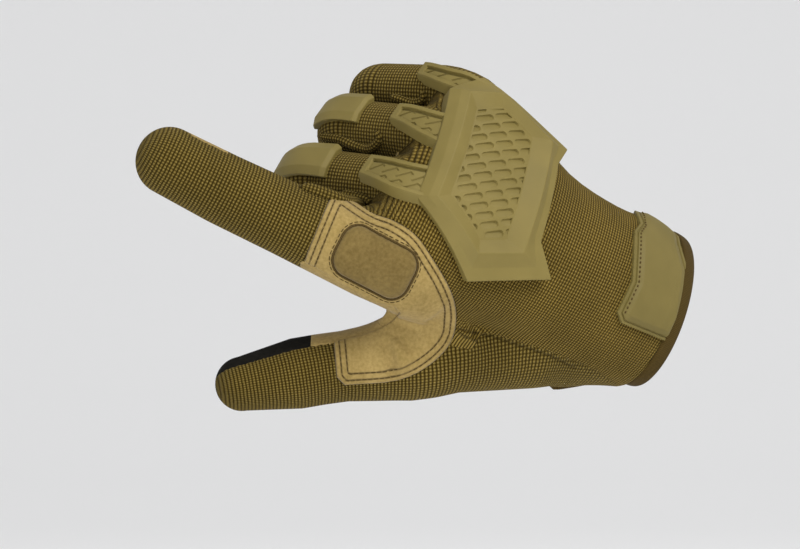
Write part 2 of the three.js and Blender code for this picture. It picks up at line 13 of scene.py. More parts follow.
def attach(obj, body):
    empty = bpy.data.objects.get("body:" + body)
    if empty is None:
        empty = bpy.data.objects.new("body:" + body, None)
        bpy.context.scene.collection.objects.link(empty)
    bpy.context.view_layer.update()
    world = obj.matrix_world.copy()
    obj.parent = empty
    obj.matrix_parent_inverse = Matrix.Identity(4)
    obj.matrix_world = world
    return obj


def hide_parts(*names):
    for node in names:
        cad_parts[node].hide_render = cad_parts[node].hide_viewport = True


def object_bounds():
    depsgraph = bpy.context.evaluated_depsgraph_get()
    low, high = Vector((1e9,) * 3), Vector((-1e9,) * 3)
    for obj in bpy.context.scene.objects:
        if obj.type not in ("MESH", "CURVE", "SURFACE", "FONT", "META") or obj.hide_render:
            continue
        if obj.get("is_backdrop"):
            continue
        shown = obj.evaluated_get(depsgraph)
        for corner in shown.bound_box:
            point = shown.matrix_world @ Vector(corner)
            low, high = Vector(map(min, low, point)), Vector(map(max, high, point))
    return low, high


MM = 0.001

# Camera at the photograph's angle
EYE = np.array([-87.4, -1000.0, 12.4])
LENS = 132.35
SENSOR = 36.0


def unit(vector):
    vector = np.asarray(vector, float)
    return vector / np.linalg.norm(vector, axis=-1, keepdims=True)


# Directions of the hand
TO_FINGERS = unit([-0.8, -0.314, 0.514])
TO_LITTLE = unit([0.35, 0.45, 0.82])
OUT_OF_BACK = unit(np.cross(TO_LITTLE, TO_FINGERS))
OUT_OF_THUMB = unit([0, -0.45, -0.89])
PATCH_BACK = unit([0.122, -0.982, -0.146])
PATCH_POINT = np.array([-91, -39, -3])

# Hand sections from the wrist to the knuckles. columns: centre x, y, z, half width, half
# thickness, lean toward the fingers in degrees, exponent of the rounded section
HAND = [
    (0, 0, 0, 27.5, 19, 8, 2),
    (-10, -6.2, 4.7, 28.7, 20, 8, 2),
    (-25.4, -16.5, 10.6, 28.4, 19.5, 5, 2.1),
    (-44.4, -28.4, 20.8, 30.6, 17.5, 0, 2.2),
    (-63, -38, 34.5, 37.5, 16, -4, 2.3),
    (-75, -42, 42.5, 40, 14.5, -5, 2.4),
    (-82, -42.5, 47, 38, 12.5, -5, 2.4),
    (-87, -43, 50, 32, 8, -5, 2.2),
]

# Cloth between index finger and thumb. columns: centre x, y, z, half length, half thickness
WEB = [
    (-88, -46, 11, 20, 10),
    (-80, -42, 1, 17, 9.5),
    (-78, -38.5, -5, 16, 9),
    (-83, -31, -13, 12, 8),
]

# Joint centres of each limb from inside the hand to its tip.
# columns: x, y, z, half width, half thickness, length of the bend on each side
LIMBS = {
    "index": [
        (-76, -45, 9, 11.5, 11.8, 0),
        (-90, -50, 15.5, 14, 12.5, 8),
        (-124, -56, 30.3, 11.9, 11.7, 6),
        (-144, -60, 39.8, 11.5, 11.3, 5),
        (-161, -63, 48.6, 11, 10.6, 0),
    ],
    "middle": [
        (-70, -42, 33, 10, 10, 0),
        (-81, -43.5, 38.5, 10.2, 12.4, 8),
        (-124, -16.5, 45.5, 10.2, 10.4, 14),
        (-103.5, 3, 28, 9.6, 9.2, 8),
        (-86, -3, 24, 9, 8.4, 0),
    ],
    "ring": [
        (-63, -36, 50, 9.6, 10, 0),
        (-73.5, -36, 56, 9.6, 12, 8),
        (-111, -8.5, 62.8, 9.6, 10, 13),
        (-92, 9, 46, 9.2, 8.8, 8),
        (-75, 3, 41.5, 8.6, 8.1, 0),
    ],
    "little": [
        (-60, -25, 67, 8.6, 10, 0),
        (-67, -22.5, 71.5, 8.8, 10.8, 6),
        (-101, 1.5, 76, 8.8, 9.2, 12),
        (-85, 15.5, 62, 8.4, 8.1, 7),
        (-70, 10.5, 58, 7.9, 7.4, 0),
    ],
    "thumb": [
        (-14, -6, -10, 15, 14, 0),
        (-38, -13, -7, 19, 17, 8),
        (-77.5, -28, -14.5, 14.5, 13.5, 8),
        (-113.7, -33, -18.7, 11.8, 11.4, 8),
        (-139.1, -37, -23.4, 9.4, 8.6, 0),
    ],
}
BLENDS = {"index": 5, "middle": 2, "ring": 2, "little": 2, "thumb": 8}  # radius where a limb leaves
WEB_BLEND = 8
HAND_ROUNDING = 2.5
CELL = 1.0  # size of a cell of the grid that the cloth is meshed on
FAR = 9.0  # distances are worked out up to this far
ON_LINE = 0.03  # a vertex nearer to a line than this counts as on it
CLOTH_BOX = (np.array([-178.0, -80, -40]), np.array([12.0, 30, 92]))  # two corners of that grid
WALL = 1.4
PALM_LINE = 0.35  # the suede starts this share of the thickness below the middle
TOUCH_PATCH_END = -116.5
# Where the index finger's suede comes round its upper side, along the finger
TIP_SUEDE = {"start": 79, "end": 103.5, "fade": 12, "rise": 1.05}
THUMB_ROOT = -80  # the thumb's suede is hidden by the patch as far as this x
FINGER_ROOTS = 104  # no suede shows between the fingers beyond this distance toward them
CROTCH_TOP = 14  # height above which the cloth between the fingers is knit
FINGER_DEPTH = -0.9  # how far into the hand, as a share of its thickness, that knit reaches
BINDING_WIDTH = 4.5
HAND_WEAVE = 24  # mean radius of the hand that the weave is laid out on
STRAP = {"start": 6, "end": 23, "turn": 75, "reach": 8, "tab_gap": 0.3}

# Outlines seen along Y. columns: x, z
WEB_PATCH = [
    (-108.5, 40), (-97, 32.4), (-89.5, 29.6), (-82.5, 25), (-77, 17.4), (-71.5, 8), (-69.2, 0),
    (-70.5, -9), (-77, -16.5), (-88, -22), (-105.5, -23.6), (-108, -21), (-109, -9.7),
    (-100, -7.6), (-94, -5.4), (-89.5, -2.4), (-87.3, 0.4), (-89.5, 2.2), (-97, 3.8),
    (-114.5, 14.8), (-118, 16.5),
]
WEB_PATCH_SMOOTH = 10  # its first points, up to this one, lie on a smooth curve
CROTCH = [
    (-119.3, 17), (-114.3, 15.1), (-97, 4.1), (-89.3, 2.5), (-87, 0.4),
    (-89.2, -2.6), (-94, -5.7), (-100, -7.9), (-109, -10), (-119.3, -10),
]
PAD = {"x": -95.4, "z": 16.4, "length": 26, "height": 16.5, "corner": 5.5, "turn": -27}
PAD_BEHIND = -38  # the pad lies on the cloth in front of this y
TAB_BEHIND = -5  # and the tab in front of this one
STRAP_TAB = [
    (-9.6, 38), (6, 38), (6.5, 22), (8.6, 13), (6, -3), (2, -10.2), (-15, -3.4), (-16.4, 0),
    (-11.4, 10), (-10, 26.5), (-7.6, 29),
]


def mix(a, b, t):
    return a + (b - a) * t


def at_distance(distances, travel, rows):
    """Rows of numbers at distances along a line, between those given at the distances travel."""
    return np.stack([np.interp(distances, travel, column) for column in rows.T], 1)


def soft_step(value, low, high):
    """0 below low, 1 above high and a smooth rise between them."""
    t = np.clip((value - low) / (high - low), 0, 1)
    return t * t * (3 - 2 * t)


def soft_min(a, b, radius):
    """The lower of two distances, with the crease between them rounded."""
    share = np.clip(0.5 + 0.5 * (b - a) / radius, 0, 1)
    return mix(b, a, share) - radius * share * (1 - share)


def catmull(rows, steps):
    """Rows of numbers made denser on a smooth curve through them."""
    rows = np.asarray(rows, float)
    padded = np.vstack([2 * rows[0] - rows[1], rows, 2 * rows[-1] - rows[-2]])
    out = []
    for i in range(1, len(rows)):
        a, b, c, d = padded[i - 1:i + 3]
        for t in np.arange(steps) / steps:
            out.append(0.5 * (2 * b + (c - a) * t + (2 * a - 5 * b + 4 * c - d) * t**2
                              + (3 * b - a - 3 * c + d) * t**3))
    out.append(rows[-1])
    return np.array(out)


def travel_along(points):
    """Distance along a line of points."""
    return np.concatenate([[0], np.cumsum(np.linalg.norm(np.diff(points, axis=0), axis=1))])


class Loft:
    """Stations with a centre, side and up, half width, half thickness, exponent and distance along."""

    def __init__(self, centre, side, up, wide, thick, power, open_start, rounding=0.0):
        self.centre = np.asarray(centre, float)
        self.side = unit(side)
        self.up = unit(up)
        self.normal = unit(np.cross(self.up, self.side))
        self.wide = np.asarray(wide, float) - rounding
        self.thick = np.asarray(thick, float) - rounding
        self.rounding = rounding
        self.power = np.asarray(power, float)
        self.open_start = open_start
        self.along = travel_along(self.centre)

    def measure(self, points):
        """Distance to the surface, distance along, and the place across and up, for each point."""
        best = np.full(len(points), FAR)
        found = np.zeros((len(points), 4))
        for i in range(len(self.centre) - 1):
            reach = max(self.wide[i:i + 2].max(), self.thick[i:i + 2].max()) + FAR
            low = self.centre[i:i + 2].min(0) - reach
            high = self.centre[i:i + 2].max(0) + reach
            near = np.flatnonzero(np.all((points > low) & (points < high), axis=1))
            if len(near) == 0:
                continue
            p = points[near]
            before = (p - self.centre[i]) @ self.normal[i]
            after = (p - self.centre[i + 1]) @ self.normal[i + 1]
            spread = before - after
            t = before / np.where(np.abs(spread) < 1e-6, 1e-6, spread)
            past = np.where(t < 0, -before, np.where(t > 1, after, 0))
            if i == 0 and self.open_start:
                past = np.where(t < 0, 0, past)
            t = np.clip(t, 0, 1)[:, None]
            centre = mix(self.centre[i], self.centre[i + 1], t)
            side = unit(mix(self.side[i], self.side[i + 1], t))
            up = unit(mix(self.up[i], self.up[i + 1], t))
            t = t[:, 0]
            wide = mix(self.wide[i], self.wide[i + 1], t)
            thick = mix(self.thick[i], self.thick[i + 1], t)
            power = mix(self.power[i], self.power[i + 1], t)
            x = np.einsum("ij,ij->i", p - centre, side)
            y = np.einsum("ij,ij->i", p - centre, up)
            ratio = (np.abs(x / wide)**power + np.abs(y / thick)**power)**(1 / power)
            flat = np.hypot(x, y)
            distance = np.where(ratio > 1e-3, flat * (1 - 1 / np.maximum(ratio, 1e-3)), -thick)
            last = i == len(self.centre) - 2 and self.rounding == 0
            if last:
                full = np.hypot(ratio, np.maximum(past, 0) / np.minimum(wide, thick))
                length = np.sqrt(flat**2 + np.maximum(past, 0)**2)
                rounded = length * (1 - 1 / np.maximum(full, 1e-3))
                distance = np.where(past > 0, rounded, distance)
            else:
                outside = np.hypot(np.maximum(distance, 0), past)
                distance = np.where(past > 0, outside, distance)
            closer = distance < best[near]
            rows = near[closer]
            best[rows] = distance[closer]
            place = mix(self.along[i], self.along[i + 1], t) + (np.maximum(past, 0) if last else 0)
            angle = np.arctan2(x / wide, y / thick)
            found[rows] = np.stack([place, x, y / thick, angle], 1)[closer]
        return best - self.rounding, found


def hand_loft():
    rows = np.array(HAND, float)
    rows[-1, :3] -= TO_FINGERS * HAND_ROUNDING
    rows = catmull(rows, 4)
    lean = np.radians(rows[:, 5])[:, None]
    side = TO_LITTLE * np.cos(lean) + TO_FINGERS * np.sin(lean)
    up = np.broadcast_to(OUT_OF_BACK, side.shape)
    return Loft(rows[:, :3], side, up, rows[:, 3], rows[:, 4], rows[:, 6], True, HAND_ROUNDING)


def web_loft():
    rows = catmull(WEB, 4)
    side = np.broadcast_to(TO_FINGERS, (len(rows), 3))
    up = np.broadcast_to(OUT_OF_BACK, side.shape)
    return Loft(rows[:, :3], side, up, rows[:, 3], rows[:, 4], np.full(len(rows), 2.0), False)


def limb_loft(rows, outward):
    """Straight stretches joined by round bends."""
    rows = np.asarray(rows, float)
    stations = [rows[0, :5]]
    for before, joint, after in zip(rows[:-2], rows[1:-1], rows[2:]):
        bend = joint[5]
        back = unit(before[:3] - joint[:3]) * bend
        on = unit(after[:3] - joint[:3]) * bend
        turn = np.pi - np.arccos(np.clip(unit(back) @ unit(on), -1, 1))
        if turn < np.radians(3):
            stations.append(joint[:5])
            continue
        middle = joint[:3] + unit(back + on) * bend / np.cos((np.pi - turn) / 2)
        first, last = joint[:3] + back - middle, joint[:3] + on - middle
        steps = max(2, int(np.ceil(turn / np.radians(12))))
        for t in np.linspace(0, 1, steps + 1):
            arm = (np.sin((1 - t) * turn) * first + np.sin(t * turn) * last) / np.sin(turn)
            stations.append(np.concatenate([middle + arm, joint[3:5]]))
    stations.append(rows[-1, :5])
    stations = np.array(stations)
    centre = stations[:, :3]
    ahead = [centre[1:2] - centre[:1], centre[2:] - centre[:-2], centre[-1:] - centre[-2:-1]]
    ahead = unit(np.vstack(ahead))
    across = unit(np.cross(ahead[0], outward))
    side = unit(across - (ahead @ across)[:, None] * ahead)
    up = unit(np.cross(side, ahead))
    return Loft(centre, side, up, stations[:, 3], stations[:, 4], np.full(len(centre), 2.0), False)


HAND_LOFT = hand_loft()
WEB_LOFT = web_loft()
LIMB_LOFTS = {name: limb_loft(rows, OUT_OF_THUMB if name == "thumb" else OUT_OF_BACK)
              for name, rows in LIMBS.items()}
WRIST_SIDE = HAND_LOFT.side[0]
WRIST_IN = unit(np.cross(OUT_OF_BACK, WRIST_SIDE))


def core_distance(points):
    hand, _ = HAND_LOFT.measure(points)
    web, _ = WEB_LOFT.measure(points)
    return soft_min(hand, web, WEB_BLEND)


def plain_distance(points):
    """Distance to the outside of the glove without its rolled folds."""
    core = core_distance(points)
    whole = core
    for name, loft in LIMB_LOFTS.items():
        limb, _ = loft.measure(points)
        whole = np.minimum(whole, soft_min(core, limb, BLENDS[name]))
    return whole


def on_cloth(flat):
    """The cloth that the camera sees behind places x, z of the plane through the wrist opening."""
    depths = np.arange(-78.0, 10, 0.5)
    target = np.stack([flat[:, 0], np.zeros(len(flat)), flat[:, 1]], 1)
    share = (depths - EYE[1]) / -EYE[1]
    points = EYE + (target - EYE)[:, None] * share[None, :, None]
    inside = plain_distance(points.reshape(-1, 3)).reshape(points.shape[:2]) < 0
    return points[np.arange(len(flat)), np.argmax(inside, axis=1)]


def segment_distance(points, start, end):
    """Distance of each point to a line between two points, in two or three dimensions."""
    along = end - start
    t = np.clip((points - start) @ along / max(along @ along, 1e-9), 0, 1)[:, None]
    return np.linalg.norm(points - start - t * along, axis=1)


def line_distance(points, line):
    return np.min([segment_distance(points, a, b) for a, b in zip(line[:-1], line[1:])], axis=0)


# Cloth rolled up where two fingers part. columns: radius, then points x, z of the plane through
# the wrist opening
ROLLS = [
    (2.3, [(-121.4, 42.5), (-114.6, 40.1), (-107.8, 37.7), (-102.4, 36.4), (-98.3, 36)]),
    (1.3, [(-107.8, 40.1), (-102.4, 39.1), (-99, 38.1), (-97.3, 36.4)]),
    (1.5, [(-115.3, 59.2), (-108.5, 58.5), (-103.7, 56.4), (-99, 55.1), (-96.2, 56.1),
           (-94.5, 58.8), (-95.9, 61.2)]),
    (1.3, [(-90.8, 73.1), (-86.7, 71.7), (-82.6, 70.7), (-79.6, 72.1), (-79.9, 74.8)]),
]
ROLL_SMOOTH = 3.0  # steps of its path that a roll's depth is smoothed over
ROLL_PROUD = 0.9  # how far a roll's middle stands out of the cloth, as a share of its radius


def surface_net(field, low):
    """Vertices and quads on the zero level of a grid of distances."""
    cells = np.array(field.shape) - 1
    total = np.zeros((cells.prod(), 3))
    count = np.zeros(cells.prod())
    quads = []
    for axis in range(3):
        start = [slice(None)] * 3
        end = [slice(None)] * 3
        start[axis] = slice(0, -1)
        end[axis] = slice(1, None)
        a, b = field[tuple(start)], field[tuple(end)]
        at = np.argwhere((a < 0) != (b < 0))
        u, v = [k for k in range(3) if k != axis]
        at = at[(at[:, u] > 0) & (at[:, v] > 0) & (at[:, u] < cells[u]) & (at[:, v] < cells[v])]
        lower, upper = a[tuple(at.T)], b[tuple(at.T)]
        place = at.astype(float)
        place[:, axis] += lower / (lower - upper)
        corners = []
        for du, dv in ((0, 0), (1, 0), (1, 1), (0, 1)):
            cell = at.copy()
            cell[:, u] -= du
            cell[:, v] -= dv
            flat = np.ravel_multi_index(cell.T, cells)
            corners.append(flat)
            for k in range(3):
                total[:, k] += np.bincount(flat, place[:, k], len(total))
            count += np.bincount(flat, minlength=len(total))
        quad = np.stack(corners, 1)
        flip = (lower < 0) == (axis == 1)
        quad[flip] = quad[flip][:, ::-1]
        quads.append(quad)
    used = np.flatnonzero(count)
    number = np.full(len(count), -1)
    number[used] = np.arange(len(used))
    return low + total[used] / count[used, None] * CELL, number[np.vstack(quads)]


def sides(faces):
    """The three sides of each triangle, as pairs of vertices."""
    return np.stack([faces, np.roll(faces, -1, axis=1)], 2)


def all_sides(faces):
    """The first sides of all triangles, then their second and third ones."""
    return sides(faces).swapaxes(0, 1).reshape(-1, 2)


def vertex_normals(vertices, faces):
    a, b, c = (vertices[faces[:, k]] for k in range(3))
    flat = np.cross(b - a, c - a)
    normals = np.zeros_like(vertices)
    for corner in range(3):
        for k in range(3):
            normals[:, k] += np.bincount(faces[:, corner], flat[:, k], len(vertices))
    return normals / np.maximum(np.linalg.norm(normals, axis=1, keepdims=True), 1e-12)


def relax(vertices, faces, share):
    """Moves each vertex part of the way to the middle of its neighbours."""
    pairs = all_sides(faces)
    pairs = np.vstack([pairs, pairs[:, ::-1]])
    count = np.bincount(pairs[:, 0], minlength=len(vertices))
    middle = np.stack([np.bincount(pairs[:, 0], vertices[pairs[:, 1], k], len(vertices))
                       for k in range(3)], 1)
    return mix(vertices, middle / np.maximum(count, 1)[:, None], share)


def cloth_mesh():
    """The outside of the whole glove as triangles."""
    low, high = CLOTH_BOX
    axes = [np.arange(a, b, CELL) for a, b in zip(low, high)]
    points = np.stack(np.meshgrid(*axes, indexing="ij"), -1).reshape(-1, 3)
    field = plain_distance(points).reshape([len(a) for a in axes])
    vertices, quads = surface_net(field, low)
    faces = np.vstack([quads[:, [0, 1, 2]], quads[:, [0, 2, 3]]])
    for _ in range(3):
        vertices = relax(vertices, faces, 0.5)
        vertices = vertices - vertex_normals(vertices, faces) * plain_distance(vertices)[:, None]
    return vertices, faces


def dense_outline(rows, smooth=1):
    curve = catmull(rows[:smooth + 1], 4) if smooth > 1 else np.array(rows[:2], float)
    return np.vstack([curve, rows[smooth + 1:]])


def rounded_rectangle(x, z, length, height, corner, turn):
    points = []
    for k, (sx, sz) in enumerate([(1, 1), (-1, 1), (-1, -1), (1, -1)]):
        for angle in np.radians(np.linspace(0, 90, 7) + 90 * k):
            points.append((sx * (length / 2 - corner) + corner * np.cos(angle),
                           sz * (height / 2 - corner) + corner * np.sin(angle)))
    c, s = np.cos(np.radians(turn)), np.sin(np.radians(turn))
    return np.array([(x + c * a - s * b, z + s * a + c * b) for a, b in points])


def outline_distance(points, outline):
    """Distance to a closed outline, below zero inside."""
    nearest = np.full(len(points), 1e9)
    inside = np.zeros(len(points), bool)
    for a, b in zip(outline, np.roll(outline, -1, axis=0)):
        nearest = np.minimum(nearest, segment_distance(points, a, b))
        spans = (a[1] > points[:, 1]) != (b[1] > points[:, 1])
        rise = b[1] - a[1] if b[1] != a[1] else 1e-9
        inside ^= spans & (points[:, 0] < a[0] + (b[0] - a[0]) * (points[:, 1] - a[1]) / rise)
    return np.where(inside, -nearest, nearest)


# Columns of the table of vertices
PLACE = slice(0, 3)
NORMAL = slice(3, 6)
CORE = 6
LIMB = {name: 7 + i for i, name in enumerate(LIMBS)}
LEVEL = {name: 12 + i for i, name in enumerate(LIMBS)}
HAND_LEVEL = 17
PATCH = 18
CROTCH_COLUMN = 19
WRIST = 20
FRONT = 21
LAYER = 22
COLUMNS = 23


def tip_suede(found):
    """How far the suede of the index finger comes round its upper side, as a rise of its line."""
    low, high = TIP_SUEDE["start"], TIP_SUEDE["end"]
    along = soft_step(found[:, 0], low, low + 1)
    along = along * (1 - soft_step(found[:, 0], high - TIP_SUEDE["fade"], high))
    return TIP_SUEDE["rise"] * along * soft_step(np.sin(found[:, 3]), 0.1, 0.3)


def vertex_table(vertices, faces):
    table = np.zeros((len(vertices), COLUMNS))
    table[:, PLACE] = vertices
    table[:, NORMAL] = vertex_normals(vertices, faces)
    table[:, CORE] = core_distance(vertices)
    for name, loft in LIMB_LOFTS.items():
        distance, found = loft.measure(vertices)
        table[:, LIMB[name]] = distance
        table[:, LEVEL[name]] = found[:, 2] - (tip_suede(found) if name == "index" else 0)
    table[:, HAND_LEVEL] = HAND_LOFT.measure(vertices)[1][:, 2]
    flat = vertices[:, [0, 2]]
    table[:, FRONT] = (vertices - PATCH_POINT) @ PATCH_BACK
    patch = outline_distance(flat, dense_outline(WEB_PATCH, WEB_PATCH_SMOOTH))
    table[:, PATCH] = np.maximum(patch, -table[:, FRONT])
    table[:, CROTCH_COLUMN] = outline_distance(flat, dense_outline(CROTCH))
    table[:, WRIST] = vertices @ WRIST_IN
    return table


def cut(table, faces, value):
    """Splits the triangles that the zero line of a value crosses."""
    value = np.where(np.abs(value) < ON_LINE, 0, value)
    sign = np.sign(value)
    pairs = sides(faces)
    crossed = sign[pairs[..., 0]] * sign[pairs[..., 1]] < 0
    if not crossed.any():
        return table, faces
    keys = pairs.min(2) * len(table) + pairs.max(2)
    wanted = np.unique(keys[crossed])
    a, b = wanted // len(table), wanted % len(table)
    t = (value[a] / (value[a] - value[b]))[:, None]
    middle = len(table) + np.searchsorted(wanted, keys)
    table = np.vstack([table, mix(table[a], table[b], t)])
    parts = [faces[~crossed.any(1)]]
    for k in range(3):
        first, second, third = faces[:, k], faces[:, (k + 1) % 3], faces[:, (k + 2) % 3]
        on, across, back = k, (k + 1) % 3, (k + 2) % 3
        lone = crossed[:, on] & crossed[:, back]
        m, n = middle[lone, on], middle[lone, back]
        parts.append(np.stack([first[lone], m, n], 1))
        parts.append(np.stack([m, second[lone], third[lone]], 1))
        parts.append(np.stack([m, third[lone], n], 1))
        single = crossed[:, across] & ~crossed[:, on] & ~crossed[:, back]
        m = middle[single, across]
        parts.append(np.stack([first[single], second[single], m], 1))
        parts.append(np.stack([first[single], m, third[single]], 1))
    return table, np.vstack(parts)


def split_cloth(table, faces):
    """Cuts the cloth along its seams and names the piece that each triangle belongs to."""
    limbs = list(LIMBS)
    lines = [lambda t: t[:, WRIST] - BINDING_WIDTH, lambda t: t[:, PATCH],
             lambda t: t[:, CROTCH_COLUMN], lambda t: t[:, HAND_LEVEL] + PALM_LINE,
             lambda t: t[:, FRONT]]
    for name in limbs:
        lines.append(lambda t, c=LIMB[name]: t[:, CORE] - t[:, c])
        lines.append(lambda t, c=LEVEL[name]: t[:, c] + PALM_LINE)
    for first, second in zip(limbs[:3], limbs[1:4]):
        lines.append(lambda t, a=LIMB[first], b=LIMB[second]: t[:, a] - t[:, b])
    lines.append(lambda t: t[:, 0] - TOUCH_PATCH_END)
    for line in lines:
        table, faces = cut(table, faces, line(table))
    middle = table[faces].mean(1)
    owner = np.argmin(middle[:, [CORE, *LIMB.values()]], axis=1)
    crotch = middle[:, CROTCH_COLUMN] < 0
    hidden = middle[:, FRONT] < 0
    between = (middle[:, PLACE] @ TO_FINGERS > FINGER_ROOTS) & (middle[:, HAND_LEVEL] > FINGER_DEPTH)
    between &= middle[:, 2] > CROTCH_TOP
    palm = crotch | (hidden & ~between & (middle[:, HAND_LEVEL] < -PALM_LINE))
    names = np.where(palm, "palm_panel", "back_panel")
    names = names.astype("U16")
    for i, name in enumerate(limbs):
        mine = owner == i + 1
        near_root = (name == "thumb") & ~hidden & (middle[:, 0] > THUMB_ROOT)
        palm = mine & (crotch | (~near_root & (middle[:, LEVEL[name]] < -PALM_LINE)))
        names[mine] = f"{name}_back"
        names[palm] = f"{name}_palm"
    names[(names == "thumb_palm") & (middle[:, 0] < TOUCH_PATCH_END)] = "touch_patch"
    names[middle[:, PATCH] < 0] = "web_patch"
    names[middle[:, WRIST] < BINDING_WIDTH] = ""
    return table, faces, names


def compact(table, faces):
    used, faces = np.unique(faces, return_inverse=True)
    return table[used], faces.reshape(-1, 3)


def closed_shell(outside, inside, faces):
    """Triangles of the outside, the inside and the walls between them along open borders."""
    pairs = all_sides(faces)
    keys = pairs.min(1) * len(outside) + pairs.max(1)
    _, first, count = np.unique(keys, return_index=True, return_counts=True)
    a, b = pairs[first[count == 1]].T
    step = len(outside)
    walls = np.vstack([np.stack([b, a, a + step], 1), np.stack([b, a + step, b + step], 1)])
    return np.vstack([outside, inside]), np.vstack([faces, faces[:, ::-1] + step, walls])


def build(name, vertices, faces, material, slot, nodes=(), maps=None, crease=180):
    """An object from vertices in millimetres, riding on the frame in the place of its nodes.
    Edges that turn by more than crease degrees are sharp."""
    mesh = bpy.data.meshes.new(name)
    mesh.from_pydata((np.asarray(vertices) * MM).tolist(), [], [list(map(int, f)) for f in faces])
    for label, values in (maps or {}).items():
        layer = mesh.uv_layers.new(name=label)
        loops = np.empty(len(mesh.loops), int)
        mesh.loops.foreach_get("vertex_index", loops)
        layer.data.foreach_set("uv", np.asarray(values, float)[loops].ravel())
    mesh.polygons.foreach_set("use_smooth", [True] * len(mesh.polygons))
    mesh.set_sharp_from_angle(angle=np.radians(crease))
    mesh.materials.append(material)
    piece = bpy.data.objects.new(name, mesh)
    bpy.context.scene.collection.objects.link(piece)
    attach(piece, "root")
    if nodes:
        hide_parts(*nodes)
    return piece


# Materials
class Nodes:
    """A material under construction, with short calls for its nodes."""

    def __init__(self, name, roughness, sheen=0.0, specular=0.25):
        self.material = bpy.data.materials.new(name)
        self.material.use_nodes = True
        self.tree = self.material.node_tree
        self.shader = self.tree.nodes["Principled BSDF"]
        self.shader.inputs["Roughness"].default_value = roughness
        self.shader.inputs["Sheen Weight"].default_value = sheen
        self.shader.inputs["Sheen Roughness"].default_value = 0.5
        self.shader.inputs["Specular IOR Level"].default_value = specular

    def add(self, kind, values=None, **settings):
        node = self.tree.nodes.new(kind)
        for key, value in settings.items():
            setattr(node, key, value)
        for key, value in (values or {}).items():
            self.set(node.inputs[key], value)
        return node

    def set(self, socket, value):
        if isinstance(value, bpy.types.NodeSocket):
            self.tree.links.new(value, socket)
        else:
            socket.default_value = value

    def math(self, operation, a, b=0.0, c=0.0, clamp=False):
        values = {0: a, 1: b, 2: c}
        return self.add("ShaderNodeMath", values, operation=operation, use_clamp=clamp).outputs[0]

    def blend(self, share, a, b):
        node = self.add("ShaderNodeMix", data_type="RGBA")
        self.set(node.inputs[0], share)
        self.set(node.inputs[6], a)
        self.set(node.inputs[7], b)
        return node.outputs[2]

    def ramp(self, value, stops):
        node = self.add("ShaderNodeValToRGB", {0: value})
        elements = node.color_ramp.elements
        while len(elements) < len(stops):
            elements.new(0.5)
        for element, (position, colour) in zip(elements, stops):
            element.position = position
            element.color = (*colour, 1)
        return node.outputs[0]

    def noise(self, scale, detail=2.0):
        place = self.add("ShaderNodeTexCoord").outputs["Object"]
        values = {"Scale": scale, "Detail": detail, "Vector": place}
        return self.add("ShaderNodeTexNoise", values).outputs[0]

    def map(self, label):
        uv = self.add("ShaderNodeUVMap", uv_map=label).outputs[0]
        parts = self.add("ShaderNodeSeparateXYZ", {0: uv})
        return parts.outputs[0], parts.outputs[1]

    def wave(self, value, pitch):
        turns = self.math("MULTIPLY", value, 2 * np.pi / pitch)
        return self.math("MULTIPLY_ADD", self.math("COSINE", turns), 0.5, 0.5)

    def bump(self, height, distance, strength):
        values = {"Height": height, "Distance": distance * MM, "Strength": strength}
        node = self.add("ShaderNodeBump", values)
        self.set(self.shader.inputs["Normal"], node.outputs[0])

    def colour(self, value):
        self.set(self.shader.inputs["Base Color"], value)


# Half widths of the lines of painted shade along seams and grooves, and the painted shade colour of
# those lines in suede
KNIT_SEAM = 0.7
SUEDE_SEAM = 0.42
SUEDE_EDGE = 0.35
GROOVE_SHADE_COLOUR = (0.05, 0.03, 0.012, 1)


def line_mask(nodes, distance, at, width):
    """1 on a line at a distance from a border, and 0 away from it."""
    off = nodes.math("ABSOLUTE", nodes.math("SUBTRACT", distance, at))
    return nodes.math("SUBTRACT", 1.0, nodes.math("DIVIDE", off, width), clamp=True)


def knit_material(name, rib, loop, loop_depth, pit_shade, yarn, light):
    """Ribs across the weave map's first axis, each a row of loops, coloured with painted shade in the
    pits between the loops and painted light on their tops.
    """
    nodes = Nodes(name, 0.95, sheen=0.1, specular=0.06)
    nodes.shader.inputs["Sheen Tint"].default_value = (1.0, 0.8, 0.35, 1)
    along, around = nodes.map("weave")
    wobble = nodes.math("MULTIPLY", nodes.math("SUBTRACT", nodes.noise(420.0), 0.5), 0.3)
    ribs = nodes.wave(nodes.math("ADD", along, wobble), rib)
    loops = nodes.wave(nodes.math("ADD", around, wobble), loop)
    dips = nodes.math("MULTIPLY", nodes.math("SUBTRACT", 1.0, loops), loop_depth)
    height = nodes.math("MULTIPLY", nodes.math("POWER", ribs, 0.8), nodes.math("SUBTRACT", 1.0, dips))
    fibre = nodes.math("MULTIPLY", nodes.math("SUBTRACT", nodes.noise(3500.0), 0.5), 0.25)
    height = nodes.math("ADD", height, fibre)
    # Painted shade and light: the colour is darkest down in the pits between the loops and lightest on
    # the loop tops.
    colour = nodes.ramp(height, [(0.05, pit_shade), (0.4, yarn), (0.95, light)])
    patches = nodes.ramp(nodes.noise(60.0), [(0.3, (0.86, 0.86, 0.84)), (0.7, (1.06, 1.06, 1.06))])
    shade = nodes.add("ShaderNodeMix", data_type="RGBA", blend_type="MULTIPLY")
    shade.inputs[0].default_value = 1.0
    nodes.set(shade.inputs[6], colour)
    nodes.set(shade.inputs[7], patches)
    _, seam = nodes.map("edge")
    # Painted shade along the seams: a thin line there takes the colour of the shaded pits.
    dark = line_mask(nodes, seam, 0.0, KNIT_SEAM)
    nodes.colour(nodes.blend(dark, shade.outputs[2], (*pit_shade, 1)))
    nodes.bump(nodes.math("SUBTRACT", height, dark), 0.5, 1.0)
    return nodes.material


